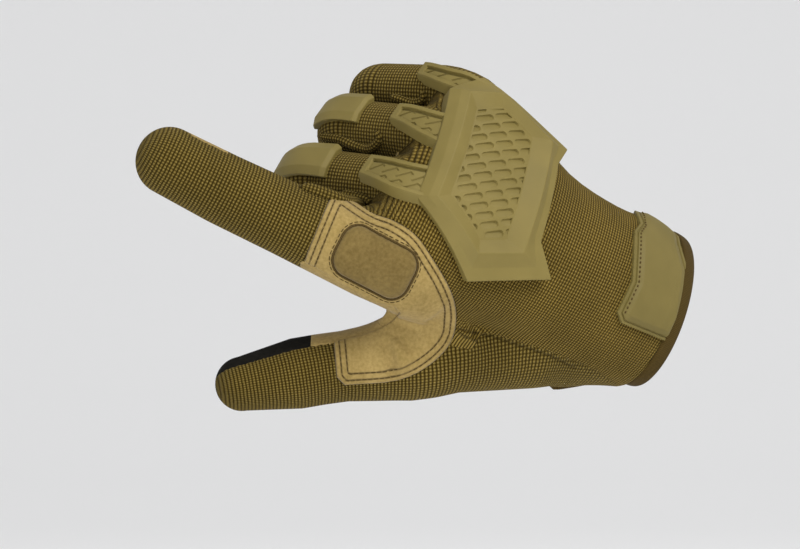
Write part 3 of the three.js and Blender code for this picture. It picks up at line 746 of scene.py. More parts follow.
def suede_material(name, dark, light, rows=(), sheen=0.1):
    """Brushed suede with grooves under rows of stitches, at distances from its border, with painted
    shade along the grooves, the border and the seam lines.
    """
    nodes = Nodes(name, 0.95, sheen=sheen, specular=0.08)
    nap = nodes.noise(900.0, 4.0)
    cloudy = nodes.noise(90.0, 3.0)
    tone = nodes.math("ADD", nodes.math("MULTIPLY", nap, 0.7), nodes.math("MULTIPLY", cloudy, 0.5))
    colour = nodes.ramp(tone, [(0.38, dark), (0.82, light)])
    border, seam = nodes.map("edge")
    # Lines of painted shade: along the border, along each row of stitches and along the seam lines.
    grooves = line_mask(nodes, border, 0.0, SUEDE_EDGE)
    for at in rows:
        grooves = nodes.math("MAXIMUM", grooves, line_mask(nodes, border, at, SUEDE_SEAM))
    grooves = nodes.math("MAXIMUM", grooves, line_mask(nodes, seam, 0.0, SUEDE_SEAM))
    # Painted shade: these lines are blended toward a dark shade colour.
    colour = nodes.blend(nodes.math("MULTIPLY", grooves, 0.7), colour, GROOVE_SHADE_COLOUR)
    nodes.colour(colour)
    height = nodes.math("SUBTRACT", nodes.math("MULTIPLY", nap, 0.35), grooves)
    nodes.bump(height, 0.3, 0.8)
    return nodes.material


def rubber_material(name, dark, light, roughness=0.62):
    """Matt moulded rubber, faintly cloudy, with a fine grain."""
    nodes = Nodes(name, roughness)
    cloudy = nodes.noise(70.0, 3.0)
    nodes.colour(nodes.ramp(cloudy, [(0.3, dark), (0.7, light)]))
    grain = nodes.noise(2600.0, 3.0)
    gloss = nodes.math("MULTIPLY_ADD", cloudy, 0.15, roughness - 0.07)
    nodes.set(nodes.shader.inputs["Roughness"], gloss)
    nodes.bump(grain, 0.03, 0.5)
    return nodes.material


def tape_material(name, dark, light):
    """Woven tape with a fine twill."""
    nodes = Nodes(name, 0.95, sheen=0.02, specular=0.08)
    along, around = nodes.map("weave")
    twill = nodes.wave(nodes.math("ADD", along, around), 0.9)
    ribs = nodes.wave(nodes.math("SUBTRACT", around, along), 0.6)
    fibre = nodes.math("MULTIPLY", nodes.noise(2500.0), 0.4)
    height = nodes.math("ADD", nodes.math("MULTIPLY", nodes.math("ADD", twill, ribs), 0.4), fibre)
    nodes.colour(nodes.ramp(height, [(0.2, dark), (0.9, light)]))
    nodes.bump(height, 0.15, 0.8)
    return nodes.material


PATCH_ROWS = (1.7, 3.7)  # distances of the patch's rows of thread from its sewn sides
MATERIALS = {
    # The knit's darkest colour is painted shade in its pits and its lightest is painted light on its
    # loop tops.
    "knit": knit_material("knit", rib=1.15, loop=1.15, loop_depth=0.75, pit_shade=(0.023, 0.014, 0.001),
                          yarn=(0.118, 0.08, 0.015), light=(0.245, 0.177, 0.046)),
    "ribbed": knit_material("ribbed_knit", rib=1.0, loop=0.95, loop_depth=0.7,
                            pit_shade=(0.024, 0.014, 0.001), yarn=(0.132, 0.087, 0.015),
                            light=(0.265, 0.184, 0.044)),
    "suede": suede_material("suede", (0.212, 0.147, 0.045), (0.347, 0.248, 0.09), PATCH_ROWS),
    "pad": suede_material("pad_suede", (0.115, 0.077, 0.022), (0.187, 0.131, 0.043)),
    "rubber": rubber_material("rubber", (0.152, 0.117, 0.029), (0.178, 0.137, 0.036)),
    "plate": rubber_material("plate_rubber", (0.13, 0.101, 0.025), (0.153, 0.118, 0.031)),
    "black_leather": suede_material("black_leather", (0.004, 0.004, 0.003), (0.011, 0.01, 0.008),
                                    sheen=0.0),
    "binding": tape_material("binding_tape", (0.03, 0.019, 0.004), (0.078, 0.05, 0.012)),
    "thread": tape_material("thread", (0.022, 0.014, 0.004), (0.07, 0.045, 0.014)),
}


# Cloth pieces
# Soft lines seen from the camera. columns: width, height out of the cloth, then points x, z of
# the photographed plane through the wrist opening
FOLDS = {
    "web_patch": [(1.6, -1.5, [(-92, -11.5), (-90.8, -16), (-90.5, -20)]),
                  (2.4, 1.0, [(-88.5, -10.5), (-87, -15), (-86.5, -18)]),
                  (1.5, -0.9, [(-88.5, -9.5), (-84, -13)])],
}

PAD_GROOVE = 0.3  # distance of the line of painted shade round the pad, standing for its groove, from its border
LAYER_MARGIN = 1.5  # cloth round a layer that is made finer with it

# Stitched seams seen from the camera, drawn by the shaders as thin lines of painted shade
THUMB_SEAM = [(-67.4, -6.1), (-55.9, -8.7), (-48, -11.4), (-36.6, -15.1), (-28, -19.3)]
SEAMS = {
    "thumb_back": [THUMB_SEAM],
    "back_panel": [THUMB_SEAM],
    "web_patch": [[(-116, 15), (-102, 4.8), (-97.2, 3.4), (-89, 1.4), (-87.5, -0.4), (-89.8, -2.6)]],
}


def seen(points):
    """Where the camera sees each point, on the plane through the wrist opening."""
    scale = (-EYE[1] / (points[:, 1] - EYE[1]))[:, None]
    return (points[:, [0, 2]] - EYE[[0, 2]]) * scale + EYE[[0, 2]]


def weave_place(name, points):
    """Place along and round the limb or hand, in millimetres."""
    limb = name.split("_")[0]
    loft = LIMB_LOFTS.get(limb, HAND_LOFT)
    _, found = loft.measure(points)
    if loft is HAND_LOFT:
        return np.stack([points @ TO_FINGERS, found[:, 3] * HAND_WEAVE], 1)
    reach = (loft.wide[1:].mean() + loft.thick[1:].mean()) / 2
    return np.stack([found[:, 0], found[:, 3] * reach], 1)


def seam_distance(name, points):
    """Distance to the nearest stitched line, or to the groove round the pad, where the shaders paint a
    line of shade.
    """
    flat = seen(points)
    found = [line_distance(flat, np.array(line, float)) for line in SEAMS.get(name, [])]
    if name == "web_patch":
        found.append(np.abs(pad_border(points) - PAD_GROOVE))
    return np.min(found, axis=0) if found else np.full(len(points), FAR)


def folded(name, table):
    """Moves the cloth along its normals by the folds of a piece."""
    flat = seen(table[:, PLACE])
    offset = np.zeros(len(table))
    for width, height, line in FOLDS.get(name, []):
        offset += height * np.exp(-(line_distance(flat, np.array(line, float)) / width)**2)
    return table[:, PLACE] + table[:, NORMAL] * offset[:, None]


def cloth_piece(node, table, faces, material, slot, border=None, raise_by=None, depth=WALL,
                crease=180):
    """A piece of the cloth that takes a node's place. border gives the distance to its edge."""
    table, faces = compact(table, faces)
    base = folded(node, table)
    outside = base if raise_by is None else base + table[:, NORMAL] * raise_by(table)[:, None]
    inside = base - table[:, NORMAL] * depth
    edge = np.full(len(table), FAR) if border is None else border(table)
    edge_map = np.stack([edge, seam_distance(node, base)], 1)
    weave = weave_place(node, base)
    vertices, triangles = closed_shell(outside, inside, faces)
    maps = {"weave": np.vstack([weave, weave]), "edge": np.vstack([edge_map, edge_map])}
    return build(f"{node}_cloth", vertices, triangles, material, slot, [node], maps, crease)


def patch_raise(table):
    """The height of the patch over the cloth, which rounds down to it at the border."""
    share = np.clip(-table[:, PATCH] / PATCH_EDGE["width"], 0, 1)
    return PATCH_EDGE["height"] * np.sqrt(np.clip(1 - (1 - share)**2, 0, 1))


def halve(table, faces):
    """Splits every triangle into four."""
    pairs = sides(faces)
    keys = pairs.min(2) * len(table) + pairs.max(2)
    wanted, place = np.unique(keys, return_inverse=True)
    middle = len(table) + place.reshape(-1, 3)
    table = np.vstack([table, (table[wanted // len(table)] + table[wanted % len(table)]) / 2])
    (a, b, c), (ab, bc, ca) = faces.T, middle.T
    parts = [(a, ab, ca), (ab, b, bc), (ca, bc, c), (ab, bc, ca)]
    return table, np.vstack([np.stack(part, 1) for part in parts])


def fine_region(table, faces, measure):
    """The triangles inside a border, made finer, with the distance to the border in LAYER."""
    table = table.copy()
    table[:, LAYER] = measure(table)
    table, faces = compact(table, faces[table[faces][:, :, LAYER].min(1) < LAYER_MARGIN])
    for _ in range(2):
        table, faces = halve(table, faces)
    table[:, NORMAL] = unit(table[:, NORMAL])
    table[:, LAYER] = measure(table)
    return table, faces


def layer_piece(node, table, faces, measure, steps, material, slot, crease=30):
    """A layer over the cloth. steps are distances in from its border and heights there."""
    table, faces = fine_region(table, faces, measure)
    inward, heights = np.array(steps, float).T
    for distance in inward:
        table, faces = cut(table, faces, table[:, LAYER] + distance)
    faces = faces[table[faces][:, :, LAYER].mean(1) < 0]
    return cloth_piece(node, table, faces, material, slot, lambda t: -t[:, LAYER],
                       lambda t: np.interp(-t[:, LAYER], inward, heights), 0.0, crease)


def border_lines(table, faces, value):
    """Places and normals along the lines where a value crosses zero."""
    table, faces = cut(table, faces, value)
    value = np.append(value, np.zeros(len(table) - len(value)))
    value[np.abs(value) < ON_LINE] = 0
    pairs = all_sides(faces)
    pairs = np.unique(np.sort(pairs[(value[pairs] == 0).all(1)], axis=1), axis=0)
    beside = {}
    for a, b in pairs.tolist():
        beside.setdefault(a, []).append(b)
        beside.setdefault(b, []).append(a)
    lines = []
    starts = sorted(beside, key=lambda v: (len(beside[v]) != 1, v))
    for start in starts:
        line = [start]
        while beside[line[-1]]:
            step = beside[line[-1]].pop(0)
            beside[step].remove(line[-1])
            line.append(step)
        if len(line) > 3:
            lines.append(table[line][:, :6])
    return lines


# Threads. lift is the height of their middle over the cloth
STITCH = {"pitch": 1.9, "length": 1.5, "radius": 0.17, "lift": 0.85}
PAD_SEAM = {"pitch": 1.1, "length": 1.7, "radius": 0.42, "lift": 0.95}
TAB_STITCH = {"pitch": 1.6, "length": 0.9, "radius": 0.3, "lift": 1.55}
THREAD = [(-0.5, 0.3), (-0.36, 0.9), (0, 1), (0.36, 0.9), (0.5, 0.3)]  # columns: share along, radius
THREAD_DIP = 0.25  # the ends of a thread lie lower by this share of its radius
# Where the threads run, as distances out from the border of the pad or the tab
PAD_STITCH_LINE = 1.0
PAD_SEAM_LINE = 0.05
TAB_STITCH_LINE = -2.0
TAB_STITCH_END = (-6, -1)  # x and z where the tab's row of stitches ends
PAD_MARGIN = 1.2  # cloth round the pad that is meshed finely for its threads
CROTCH_CLEAR = 1.2  # no thread nearer to the crotch than this


def stitches(name, lines, slot, style=STITCH):
    """Short threads laid along lines on the cloth."""
    angles = np.radians(np.arange(0, 360, 60))
    parts = []
    for line in lines:
        places, normals = line[:, :3], line[:, 3:]
        travel = travel_along(places)
        for start in np.arange(style["pitch"] / 2, travel[-1], style["pitch"]):
            ends = [start - style["length"] / 2, start, start + style["length"] / 2]
            a, middle, b = at_distance(ends, travel, places)
            up = unit(at_distance([start], travel, normals)[0])
            ahead = unit(b - a + 1e-9)
            side = np.cross(up, ahead)
            rings = []
            for share, size in THREAD:
                height = style["lift"] - THREAD_DIP * (2 * share)**2 * style["radius"]
                centre = middle + ahead * share * style["length"] + up * height
                out = np.outer(np.cos(angles), side) + np.outer(np.sin(angles), up)
                rings.append(centre + out * style["radius"] * size)
            parts.append((np.vstack(rings), capped_faces(len(rings), len(angles))))
    build(name, *merge(parts), MATERIALS["thread"], slot)


# The sides of the patch that are sewn down, all but its side toward the crotch
PATCH_SEWN = np.vstack([WEB_PATCH[-1:], dense_outline(WEB_PATCH, WEB_PATCH_SMOOTH)[:-8]])


def sewn_sides(table):
    return line_distance(table[:, [0, 2]], PATCH_SEWN)


def pad_border(table):
    border = outline_distance(table[:, [0, 2]], rounded_rectangle(**PAD))
    return np.maximum(border, table[:, 1] - PAD_BEHIND)


def tab_border(table):
    border = outline_distance(table[:, [0, 2]], dense_outline(STRAP_TAB))
    return np.maximum(border, table[:, 1] - TAB_BEHIND)


def strap_border(table):
    turn = np.radians(STRAP["turn"])
    palm_side = WRIST_SIDE * np.cos(turn) - OUT_OF_BACK * np.sin(turn)
    middle, half = (STRAP["start"] + STRAP["end"]) / 2, (STRAP["end"] - STRAP["start"]) / 2
    band = np.abs(table[:, WRIST] - middle) - half
    band = np.maximum(band, STRAP["reach"] - table[:, PLACE] @ palm_side)
    return np.maximum(band, STRAP["tab_gap"] - tab_border(table))


# Steps of the layers over the cloth. columns: distance in from the border, height
PAD_STEPS = [(0, 0.2), (0.3, 1.0), (1.0, 1.65), (2.2, 2.15), (4.5, 2.5), (8, 2.6)]
TAB_STEPS = [(0, -0.3), (0.05, 0.9), (0.25, 1.15), (0.85, 1.15), (1.0, 0.75), (1.35, 0.7), (1.5, 1.2),
             (3.1, 2.1), (3.3, 2.15), (9, 2.3)]
STRAP_STEPS = [(0, -0.3), (0.15, 1.1), (0.5, 1.4), (4, 1.5)]
PATCH_EDGE = {"height": 0.8, "width": 0.9}


def dress_cloth():
    vertices, faces = cloth_mesh()
    table, faces, names = split_cloth(vertex_table(vertices, faces), faces)
    for node in sorted(set(names) - {""}):
        mine = faces[names == node]
        if node == "web_patch":
            cloth_piece(node, table, mine, MATERIALS["suede"], "suede", sewn_sides, patch_raise)
        elif node.endswith("palm") or node == "palm_panel":
            cloth_piece(node, table, mine, MATERIALS["suede"], "suede")
        elif node == "touch_patch":
            cloth_piece(node, table, mine, MATERIALS["black_leather"], "black_leather")
        else:
            style = "ribbed" if node == "back_panel" else "knit"
            cloth_piece(node, table, mine, MATERIALS[style], "knit")
    cloth = faces[names != ""]
    pad = layer_piece("web_pad", table, cloth, pad_border, PAD_STEPS, MATERIALS["pad"], "suede", 180)
    layer_piece("strap_tab", table, cloth, tab_border, TAB_STEPS, MATERIALS["plate"], "rubber")
    layer_piece("wrist_strap", table, cloth, strap_border, STRAP_STEPS, MATERIALS["binding"], "webbing")
    sew(table, faces, names)


def sew(table, faces, names):
    """The rows of thread on the patch, round the pad and along the tab."""
    patch = faces[names == "web_patch"]
    crotch = np.array(WEB_PATCH[12:], float)
    lines = []
    for inward in PATCH_ROWS:
        for line in border_lines(table, patch, sewn_sides(table) - inward):
            away = line_distance(line[:, [0, 2]], crotch) > CROTCH_CLEAR
            edges = np.flatnonzero(np.diff(away))
            lines += [part for part in np.split(line, edges + 1) if len(part) > 8
                      and line_distance(part[:, [0, 2]], crotch).min() > CROTCH_CLEAR]
    stitches("web_patch_stitches", lines, "suede")
    around, mesh = fine_region(table, patch, lambda t: pad_border(t) - PAD_MARGIN)
    border = around[:, LAYER] + PAD_MARGIN
    stitches("web_pad_stitches", border_lines(around, mesh, border - PAD_STITCH_LINE), "suede")
    stitches("web_pad_seam", border_lines(around, mesh, border - PAD_SEAM_LINE), "suede", PAD_SEAM)
    around, mesh = fine_region(table, faces[names == "back_panel"], tab_border)
    lines = []
    for line in border_lines(around, mesh, around[:, LAYER] - TAB_STITCH_LINE):
        line = line[(line[:, 0] < TAB_STITCH_END[0]) & (line[:, 2] > TAB_STITCH_END[1])]
        if len(line) > 3:
            lines.append(line)
    stitches("strap_tab_stitches", lines, "rubber", TAB_STITCH)


def roll_pieces():
    """The cloth rolled up where two fingers part."""
    angles = np.linspace(0, 2 * np.pi, 16, endpoint=False)
    parts, weave = [], []
    for radius, line in ROLLS:
        path = on_cloth(catmull(line, 4))
        reach = np.arange(len(path))
        near = np.exp(-((reach[:, None] - reach) / ROLL_SMOOTH)**2)
        path[:, 1] = (near @ path[:, 1]) / near.sum(1) - ROLL_PROUD * radius
        ahead = unit(np.gradient(path, axis=0))
        side = unit(np.cross(ahead, [0, -1, 0]))
        up = np.cross(side, ahead)
        travel = travel_along(path)
        share = travel / travel[-1]
        size = radius * np.sqrt(np.clip(1 - (2 * share - 1)**6, 0.02, 1))[:, None, None]
        out = np.cos(angles)[:, None] * side[:, None] + np.sin(angles)[:, None] * up[:, None]
        points = path[:, None] + size * out
        parts.append((points.reshape(-1, 3), capped_faces(len(path), len(angles))))
        around = np.broadcast_to(angles * radius, points.shape[:2])
        along = np.broadcast_to(travel[:, None], around.shape)
        weave.append(np.stack([along, around], 2).reshape(-1, 2))
    vertices, faces = merge(parts)
    weave = np.vstack(weave)
    maps = {"weave": weave, "edge": np.full(weave.shape, FAR)}
    build("finger_rolls", vertices, faces, MATERIALS["knit"], "knit", maps=maps)


# The binding's section. columns: distance into the glove from the wrist opening, height
BINDING_TAPE = [(4.6, 0.1), (3.9, 0.7), (1.0, 0.75), (-0.5, 0.3), (-0.9, -0.9), (-0.4, -2.0),
                (1.2, -2.3), (5.5, -2.2), (5.6, -1.5)]


def binding_piece():
    """The tape folded over the edge of the wrist opening."""
    profile = catmull(BINDING_TAPE, 3)
    angles = np.linspace(0, 2 * np.pi, 160, endpoint=False)
    first, second = np.array(HAND[:2], float)
    step = (second - first)[:3] @ WRIST_IN
    rings, weave = [], []
    for (inward, raise_by), distance in zip(profile, travel_along(profile)):
        section = mix(first, second, inward / step)
        wide, thick = section[3:5] + raise_by
        across = np.outer(np.cos(angles) * wide, WRIST_SIDE)
        rings.append(section[:3] + across + np.outer(np.sin(angles) * thick, OUT_OF_BACK))
        weave.append(np.stack([np.full(len(angles), distance), angles * HAND_WEAVE], 1))
    faces = grid_faces(len(rings), len(angles), wrap=True)[:, [0, 3, 2, 1]]
    build("cuff_binding_tape", np.vstack(rings), faces, MATERIALS["binding"], "binding",
          ["cuff_binding"], {"weave": np.vstack(weave)})


# The knuckle guard lies on a crowned surface. A place on it is p toward the fingers, q toward the
# little finger and a height out of the back of the hand.
GUARD_POINT = np.array([-60.0, -40, 36])
GUARD_CROWN = {"height": 12.6, "across": 0.0055, "middle": 1, "along": 0.011, "start": 4}
# columns: outer edge p and q, crest p and q, edge of the recess p and q, rise of the middle
# between outer edge and crest
GUARD_CORNERS = np.array([
    (28.4, 26, 23.2, 26.3, 19, 22.1, 1.5),
    (19.2, 36.6, 13.2, 31.6, 11, 27.7, 0),
    (-16, 28, -8.4, 25.2, -1.9, 23.1, 0),
    (-14, 20, -9.1, 18.9, -2.6, 17.4, 0),
    (-18, -9, -12.5, -11.6, -5.9, -10.2, 0),
    (-27, -18, -13.1, -17, -6.5, -15.2, 0),
    (-2, -33, 0.5, -25, 1.4, -20.1, 0),
    (25.2, -16.9, 20.6, -15.3, 16.6, -11.7, 1.5),
], float)
# columns: share from the outer edge to the crest, share from there to the recess, height
GUARD_RINGS = [(0.3, 0, -5), (0, 0, 2.4), (0.5, 0, 2.9), (1, 0, 5.2), (1, 1, 2.7)]
GUARD_FLOOR = 2.75
BRICK = {"length": 6.9, "height": 2.4, "depth": 0.8, "pitch": 7.6, "rise": 4.15}
BRICK_ROW = unit([-0.78, 0.62])
BRICK_ACROSS = np.array([-BRICK_ROW[1], BRICK_ROW[0]])
# columns: distance in from a brick's outline, share of its depth
BRICK_RINGS = [(0, 0), (0.08, 0.15), (0.2, 0.8), (0.35, 1), (0.8, 1), (BRICK["height"], 1)]
BRICK_LEAN = BRICK_ROW * 0.12 - BRICK_ACROSS * 0.5  # a brick deepens this way
SMALLEST_BRICK = 1.5  # square millimetres
FLOOR_GRID = 2.5

# Prongs over the knuckles along the middle of their tops.
# columns: p, q, height, half width, thickness
PRONGS = {
    "middle": [(21, -10.2, 11.6, 6.1, 4), (24.7, -10.7, 9.6, 5.9, 4), (31, -11, 5.2, 5.5, 4),
               (36, -8.7, -2.4, 4.6, 4), (39.5, -6, -11, 3.8, 3.4)],
    "ring": [(21, 9.4, 11.4, 5.9, 4), (25, 9.8, 9.6, 5.8, 4), (31, 11.3, 4, 4.8, 4),
             (35.5, 14.1, -3.2, 3.8, 4), (38, 16, -9.5, 3.1, 3.4)],
    "little": [(17, 30, 7.8, 4.2, 4), (24, 31.9, 4.3, 3.9, 4), (29.5, 33.3, -1.4, 3.3, 4),
               (33, 35.8, -8.2, 2.9, 3.6), (34.5, 37.2, -12.4, 2.6, 3.2)],
}
# Sizes of the relief on a prong: the bar along its upper side, the groove under it, the rim round
# the sunken panel, the slope of its lower side, the end without a panel at the tip, the depth of
# its marks, the width of the walls of panel and groove, its rounded edge, the depth of its upper
# side and how far its foot is sunk
PRONG = {"bar": 1.5, "groove": 0.9, "groove_depth": 1.3, "panel_depth": 0.6, "rim": 1.5,
         "slope": 1.7, "slope_depth": 3.2, "end": 2.6, "mark_depth": 0.45, "wall": 0.25,
         "groove_wall": 0.2, "edge": 0.4, "edge_drop": 0.35, "side": 0.9, "foot": 2}
# A slanted mark in the panel. columns: distance along the prong and across it
MARK = [(0, 0), (-4.4, 3.0), (-5.5, 2.5)]
MARK_PITCH = 6.2
MARK_DRIFT = 0.25  # each mark lies this much further across than the one before
# columns: shift back along the prong, place across it
MARK_ROWS = [(0, -1.6), (0.6 * MARK_PITCH, -5.2)]
# columns: start and end along the finger, degrees toward the thumb and the little finger, thickness
FINGER_GUARDS = {"middle": (41.5, 60, 27, 40, 2.6), "ring": (39, 54, 27, 36, 2.4)}
FINGER_GUARD_FOOT = 1.5  # how far a guard's edges reach into the cloth


def guard_place(p, q, height):
    p, q, height = (np.asarray(v, float)[..., None] for v in (p, q, height))
    return GUARD_POINT + p * TO_FINGERS + q * TO_LITTLE + height * OUT_OF_BACK


def crown(p, q):
    """Height of the crowned surface at a place."""
    across = GUARD_CROWN["across"] * (q - GUARD_CROWN["middle"])**2
    along = GUARD_CROWN["along"] * np.maximum(0, p - GUARD_CROWN["start"])**2
    return GUARD_CROWN["height"] - across - along


def grid_faces(rows, columns, wrap=False):
    at = np.arange(rows * columns).reshape(rows, columns)
    if wrap:
        at = np.hstack([at, at[:, :1]])
    a, b, c, d = at[:-1, :-1], at[:-1, 1:], at[1:, 1:], at[1:, :-1]
    return np.stack([a.ravel(), b.ravel(), c.ravel(), d.ravel()], 1)


def capped_faces(rows, columns):
    """Faces of a tube of rings with both ends closed."""
    last = (rows - 1) * columns
    ends = [tuple(range(columns))[::-1], tuple(range(last, last + columns))]
    return [tuple(f) for f in grid_faces(rows, columns, wrap=True)] + ends


def merge(parts):
    """Vertices and faces of several meshes as one."""
    vertices, faces, step = [], [], 0
    for points, polygons in parts:
        vertices.append(points)
        faces += [tuple(int(i) + step for i in f) for f in polygons]
        step += len(points)
    return np.vstack(vertices), faces


def bevel(piece, width, angle):
    modifier = piece.modifiers.new("edges", "BEVEL")
    modifier.width = width * MM
    modifier.segments = 2
    modifier.limit_method = "ANGLE"
    modifier.angle_limit = np.radians(angle)
    modifier.harden_normals = True


def guard_shell():
    """Rings from under the outer edge up to the crest and down to the recess."""
    steps = 6
    rings = []
    for to_crest, to_recess, height in GUARD_RINGS:
        corners = mix(GUARD_CORNERS[:, 0:2], GUARD_CORNERS[:, 2:4], to_crest)
        corners = mix(corners, GUARD_CORNERS[:, 4:6], to_recess)
        rise = GUARD_CORNERS[:, 6:] * 4 * to_crest * (1 - to_crest) * (height > 0)
        corners = np.hstack([corners, height + rise])
        after = np.roll(corners, -1, axis=0)
        places = np.vstack([mix(a, b, k / steps) for a, b in zip(corners, after) for k in range(steps)])
        p, q, height = places.T
        rings.append(guard_place(p, q, crown(p, q) + height))
    return np.vstack(rings), grid_faces(len(rings), len(rings[0]), wrap=True)


def pill(middle):
    """Outline of a brick of the relief, in p and q."""
    radius = BRICK["height"] / 2
    reach = BRICK["length"] / 2 - radius
    points = []
    for end, start in ((1, -90), (-1, 90)):
        for angle in np.radians(np.linspace(start, start + 180, 7)):
            along = end * reach + radius * np.cos(angle)
            points.append(middle + along * BRICK_ROW + radius * np.sin(angle) * BRICK_ACROSS)
    return np.array(points)


def clip(outline, border):
    """The part of a convex outline inside a convex border."""
    turn = np.sign(np.cross(border[1] - border[0], border[2] - border[1]))
    for a, b in zip(border, np.roll(border, -1, axis=0)):
        height = turn * np.cross(unit(b - a), outline - a)
        kept = []
        for i in range(len(outline)):
            j = (i + 1) % len(outline)
            if height[i] >= 0:
                kept.append(outline[i])
            if height[i] * height[j] < 0:
                kept.append(mix(outline[i], outline[j], height[i] / (height[i] - height[j])))
        if len(kept) < 3:
            return np.zeros((0, 2))
        outline = np.array(kept)
    return outline


def area(outline):
    after = np.roll(outline, -1, axis=0)
    return abs(np.cross(outline, after).sum()) / 2


def brick_rings(outline, middle):
    """A sunk brick from its outline in. It is deepest at its upper and right-hand side."""
    along = (outline - middle) @ BRICK_ROW
    low, high = along.min() + 0.5, along.max() - 0.5
    spine = middle + np.outer(np.clip(along, min(low, high), max(low, high)), BRICK_ROW)
    inward = spine - outline
    length = np.linalg.norm(inward, axis=1, keepdims=True)
    rings = []
    for inset, share in BRICK_RINGS:
        ring = outline + inward * np.minimum(1, inset / np.maximum(length, 1e-6))
        depth = BRICK["depth"] * share * np.clip(0.5 + (ring - middle) @ BRICK_LEAN, 0.02, 1.1)
        rings.append(guard_place(*ring.T, crown(*ring.T) + GUARD_FLOOR - depth))
    return np.vstack(rings), grid_faces(len(rings), len(outline), wrap=True)


def guard_floor():
    """The floor of the recess with its sunk bricks. It runs on under the bevel round it."""
    recess = GUARD_CORNERS[:, 4:6]
    border = mix(recess, GUARD_CORNERS[:, 2:4], 0.5)
    middle = recess.mean(0)
    inner = mix(recess, middle, 0.03)
    bricks = []
    for row in range(-9, 10):
        for k in range(-6, 7):
            shift = (k + abs(row) % 2 / 2) * BRICK["pitch"]
            place = middle + np.array([0, -BRICK["rise"]]) * row + BRICK_ROW * shift
            outline = clip(pill(place), inner)
            if len(outline) and area(outline) > SMALLEST_BRICK:
                bricks.append((outline, place))
    outlines = [border] + [outline for outline, _ in bricks]
    spots = np.meshgrid(np.arange(-30, 30, FLOOR_GRID), np.arange(-40, 42, FLOOR_GRID))
    spots = np.stack(spots, -1).reshape(-1, 2)
    clear = outline_distance(spots, border) < -0.6
    for outline in outlines[1:]:
        clear &= outline_distance(spots, outline) > 0.5
    points = np.vstack(outlines + [spots[clear]])
    edges, start = [], 0
    for outline in outlines:
        count = len(outline)
        edges += [(start + i, start + (i + 1) % count) for i in range(count)]
        start += count
    found = delaunay_2d_cdt([Vector(p) for p in points], edges, [], 0, 1e-5)
    flat = np.array([tuple(v) for v in found[0]])
    faces = np.array(found[2])
    centre = flat[faces].mean(1)
    keep = outline_distance(centre, border) < 0
    for outline in outlines[1:]:
        keep &= outline_distance(centre, outline) > 0
    parts = [(guard_place(*flat.T, crown(*flat.T) + GUARD_FLOOR), faces[keep])]
    return parts + [brick_rings(outline, place) for outline, place in bricks]


def path_frames(places, steps):
    """Points on a smooth path with directions to the side and up."""
    path = catmull(places, steps)
    ahead = unit(np.gradient(path, axis=0))
    side = unit(TO_LITTLE - (ahead @ TO_LITTLE)[:, None] * ahead)
    return path, side, unit(np.cross(side, ahead))


def prong_marks(length, x):
    """1 on the slanted marks in the panel of a prong, and 0 away from them."""
    places = np.stack([np.broadcast_to(length, x.shape).ravel(), x.ravel()], 1)
    mark = np.full(len(places), FAR)
    tip = length[-1, 0]
    for start in np.arange(tip - PRONG["end"] - 1, -MARK_PITCH, -MARK_PITCH):
        for shift, drop in MARK_ROWS:
            drift = MARK_DRIFT * (tip - start) / MARK_PITCH
            line = np.array(MARK) + (start - shift, drop + drift)
            mark = np.minimum(mark, line_distance(places, line))
    return (1 - soft_step(mark, 0.15, 0.38)).reshape(x.shape)


def prong(rows):
    """A bar over a knuckle with a sunk panel, a rib along its upper side and slanted marks."""
    rows = np.array(rows, float)
    steps = 40
    path, side, up = path_frames(guard_place(rows[:, 0], rows[:, 1], rows[:, 2]), steps)
    half = catmull(rows[:, 3:4], steps)
    length = travel_along(path)[:, None]
    x = half * np.linspace(-1, 1, 61)
    bar = half - PRONG["bar"]
    groove = bar - PRONG["groove"]
    low = PRONG["rim"] - half
    wall, end = PRONG["wall"], length[-1] - PRONG["end"]
    inside = 1 - soft_step(length, end - wall, end)
    in_groove = soft_step(x, groove - PRONG["groove_wall"], groove)
    panel = inside * soft_step(x, low, low + wall) * (1 - in_groove)
    trench = inside * in_groove * (1 - soft_step(x, bar - wall, bar))
    marks = PRONG["mark_depth"] * panel * prong_marks(length, x)
    height = -PRONG["panel_depth"] * panel - PRONG["groove_depth"] * trench - marks
    edge = np.minimum(half - np.abs(x), length[-1] - length)
    height = height - PRONG["edge_drop"] * (1 - soft_step(edge, 0, PRONG["edge"]))
    ends = [-half, -half - PRONG["slope"], x, half * 1.02, half]
    flat = np.ones_like(half)
    deep = catmull(rows[:, 4:5], steps) + PRONG["foot"]
    heights = [-deep, -PRONG["slope_depth"] * flat, height, -PRONG["side"] * flat, -deep]
    across, height = np.hstack(ends), np.hstack(heights)
    points = path[:, None] + across[..., None] * side[:, None] + height[..., None] * up[:, None]
    count, columns = across.shape
    faces = [tuple(f) for f in grid_faces(count, columns)]
    faces.append(tuple(range((count - 1) * columns, count * columns)))
    return points.reshape(-1, 3), faces


def dress_guard():
    shell = build("knuckle_guard_frame", *guard_shell(), MATERIALS["rubber"], "rubber",
                  ["knuckle_guard"], crease=12)
    bevel(shell, 0.35, 12)
    build("knuckle_guard_bricks", *merge(guard_floor()), MATERIALS["rubber"], "rubber", crease=40)
    for name, rows in PRONGS.items():
        build(f"{name}_prong", *prong(rows), MATERIALS["rubber"], "rubber", crease=20)


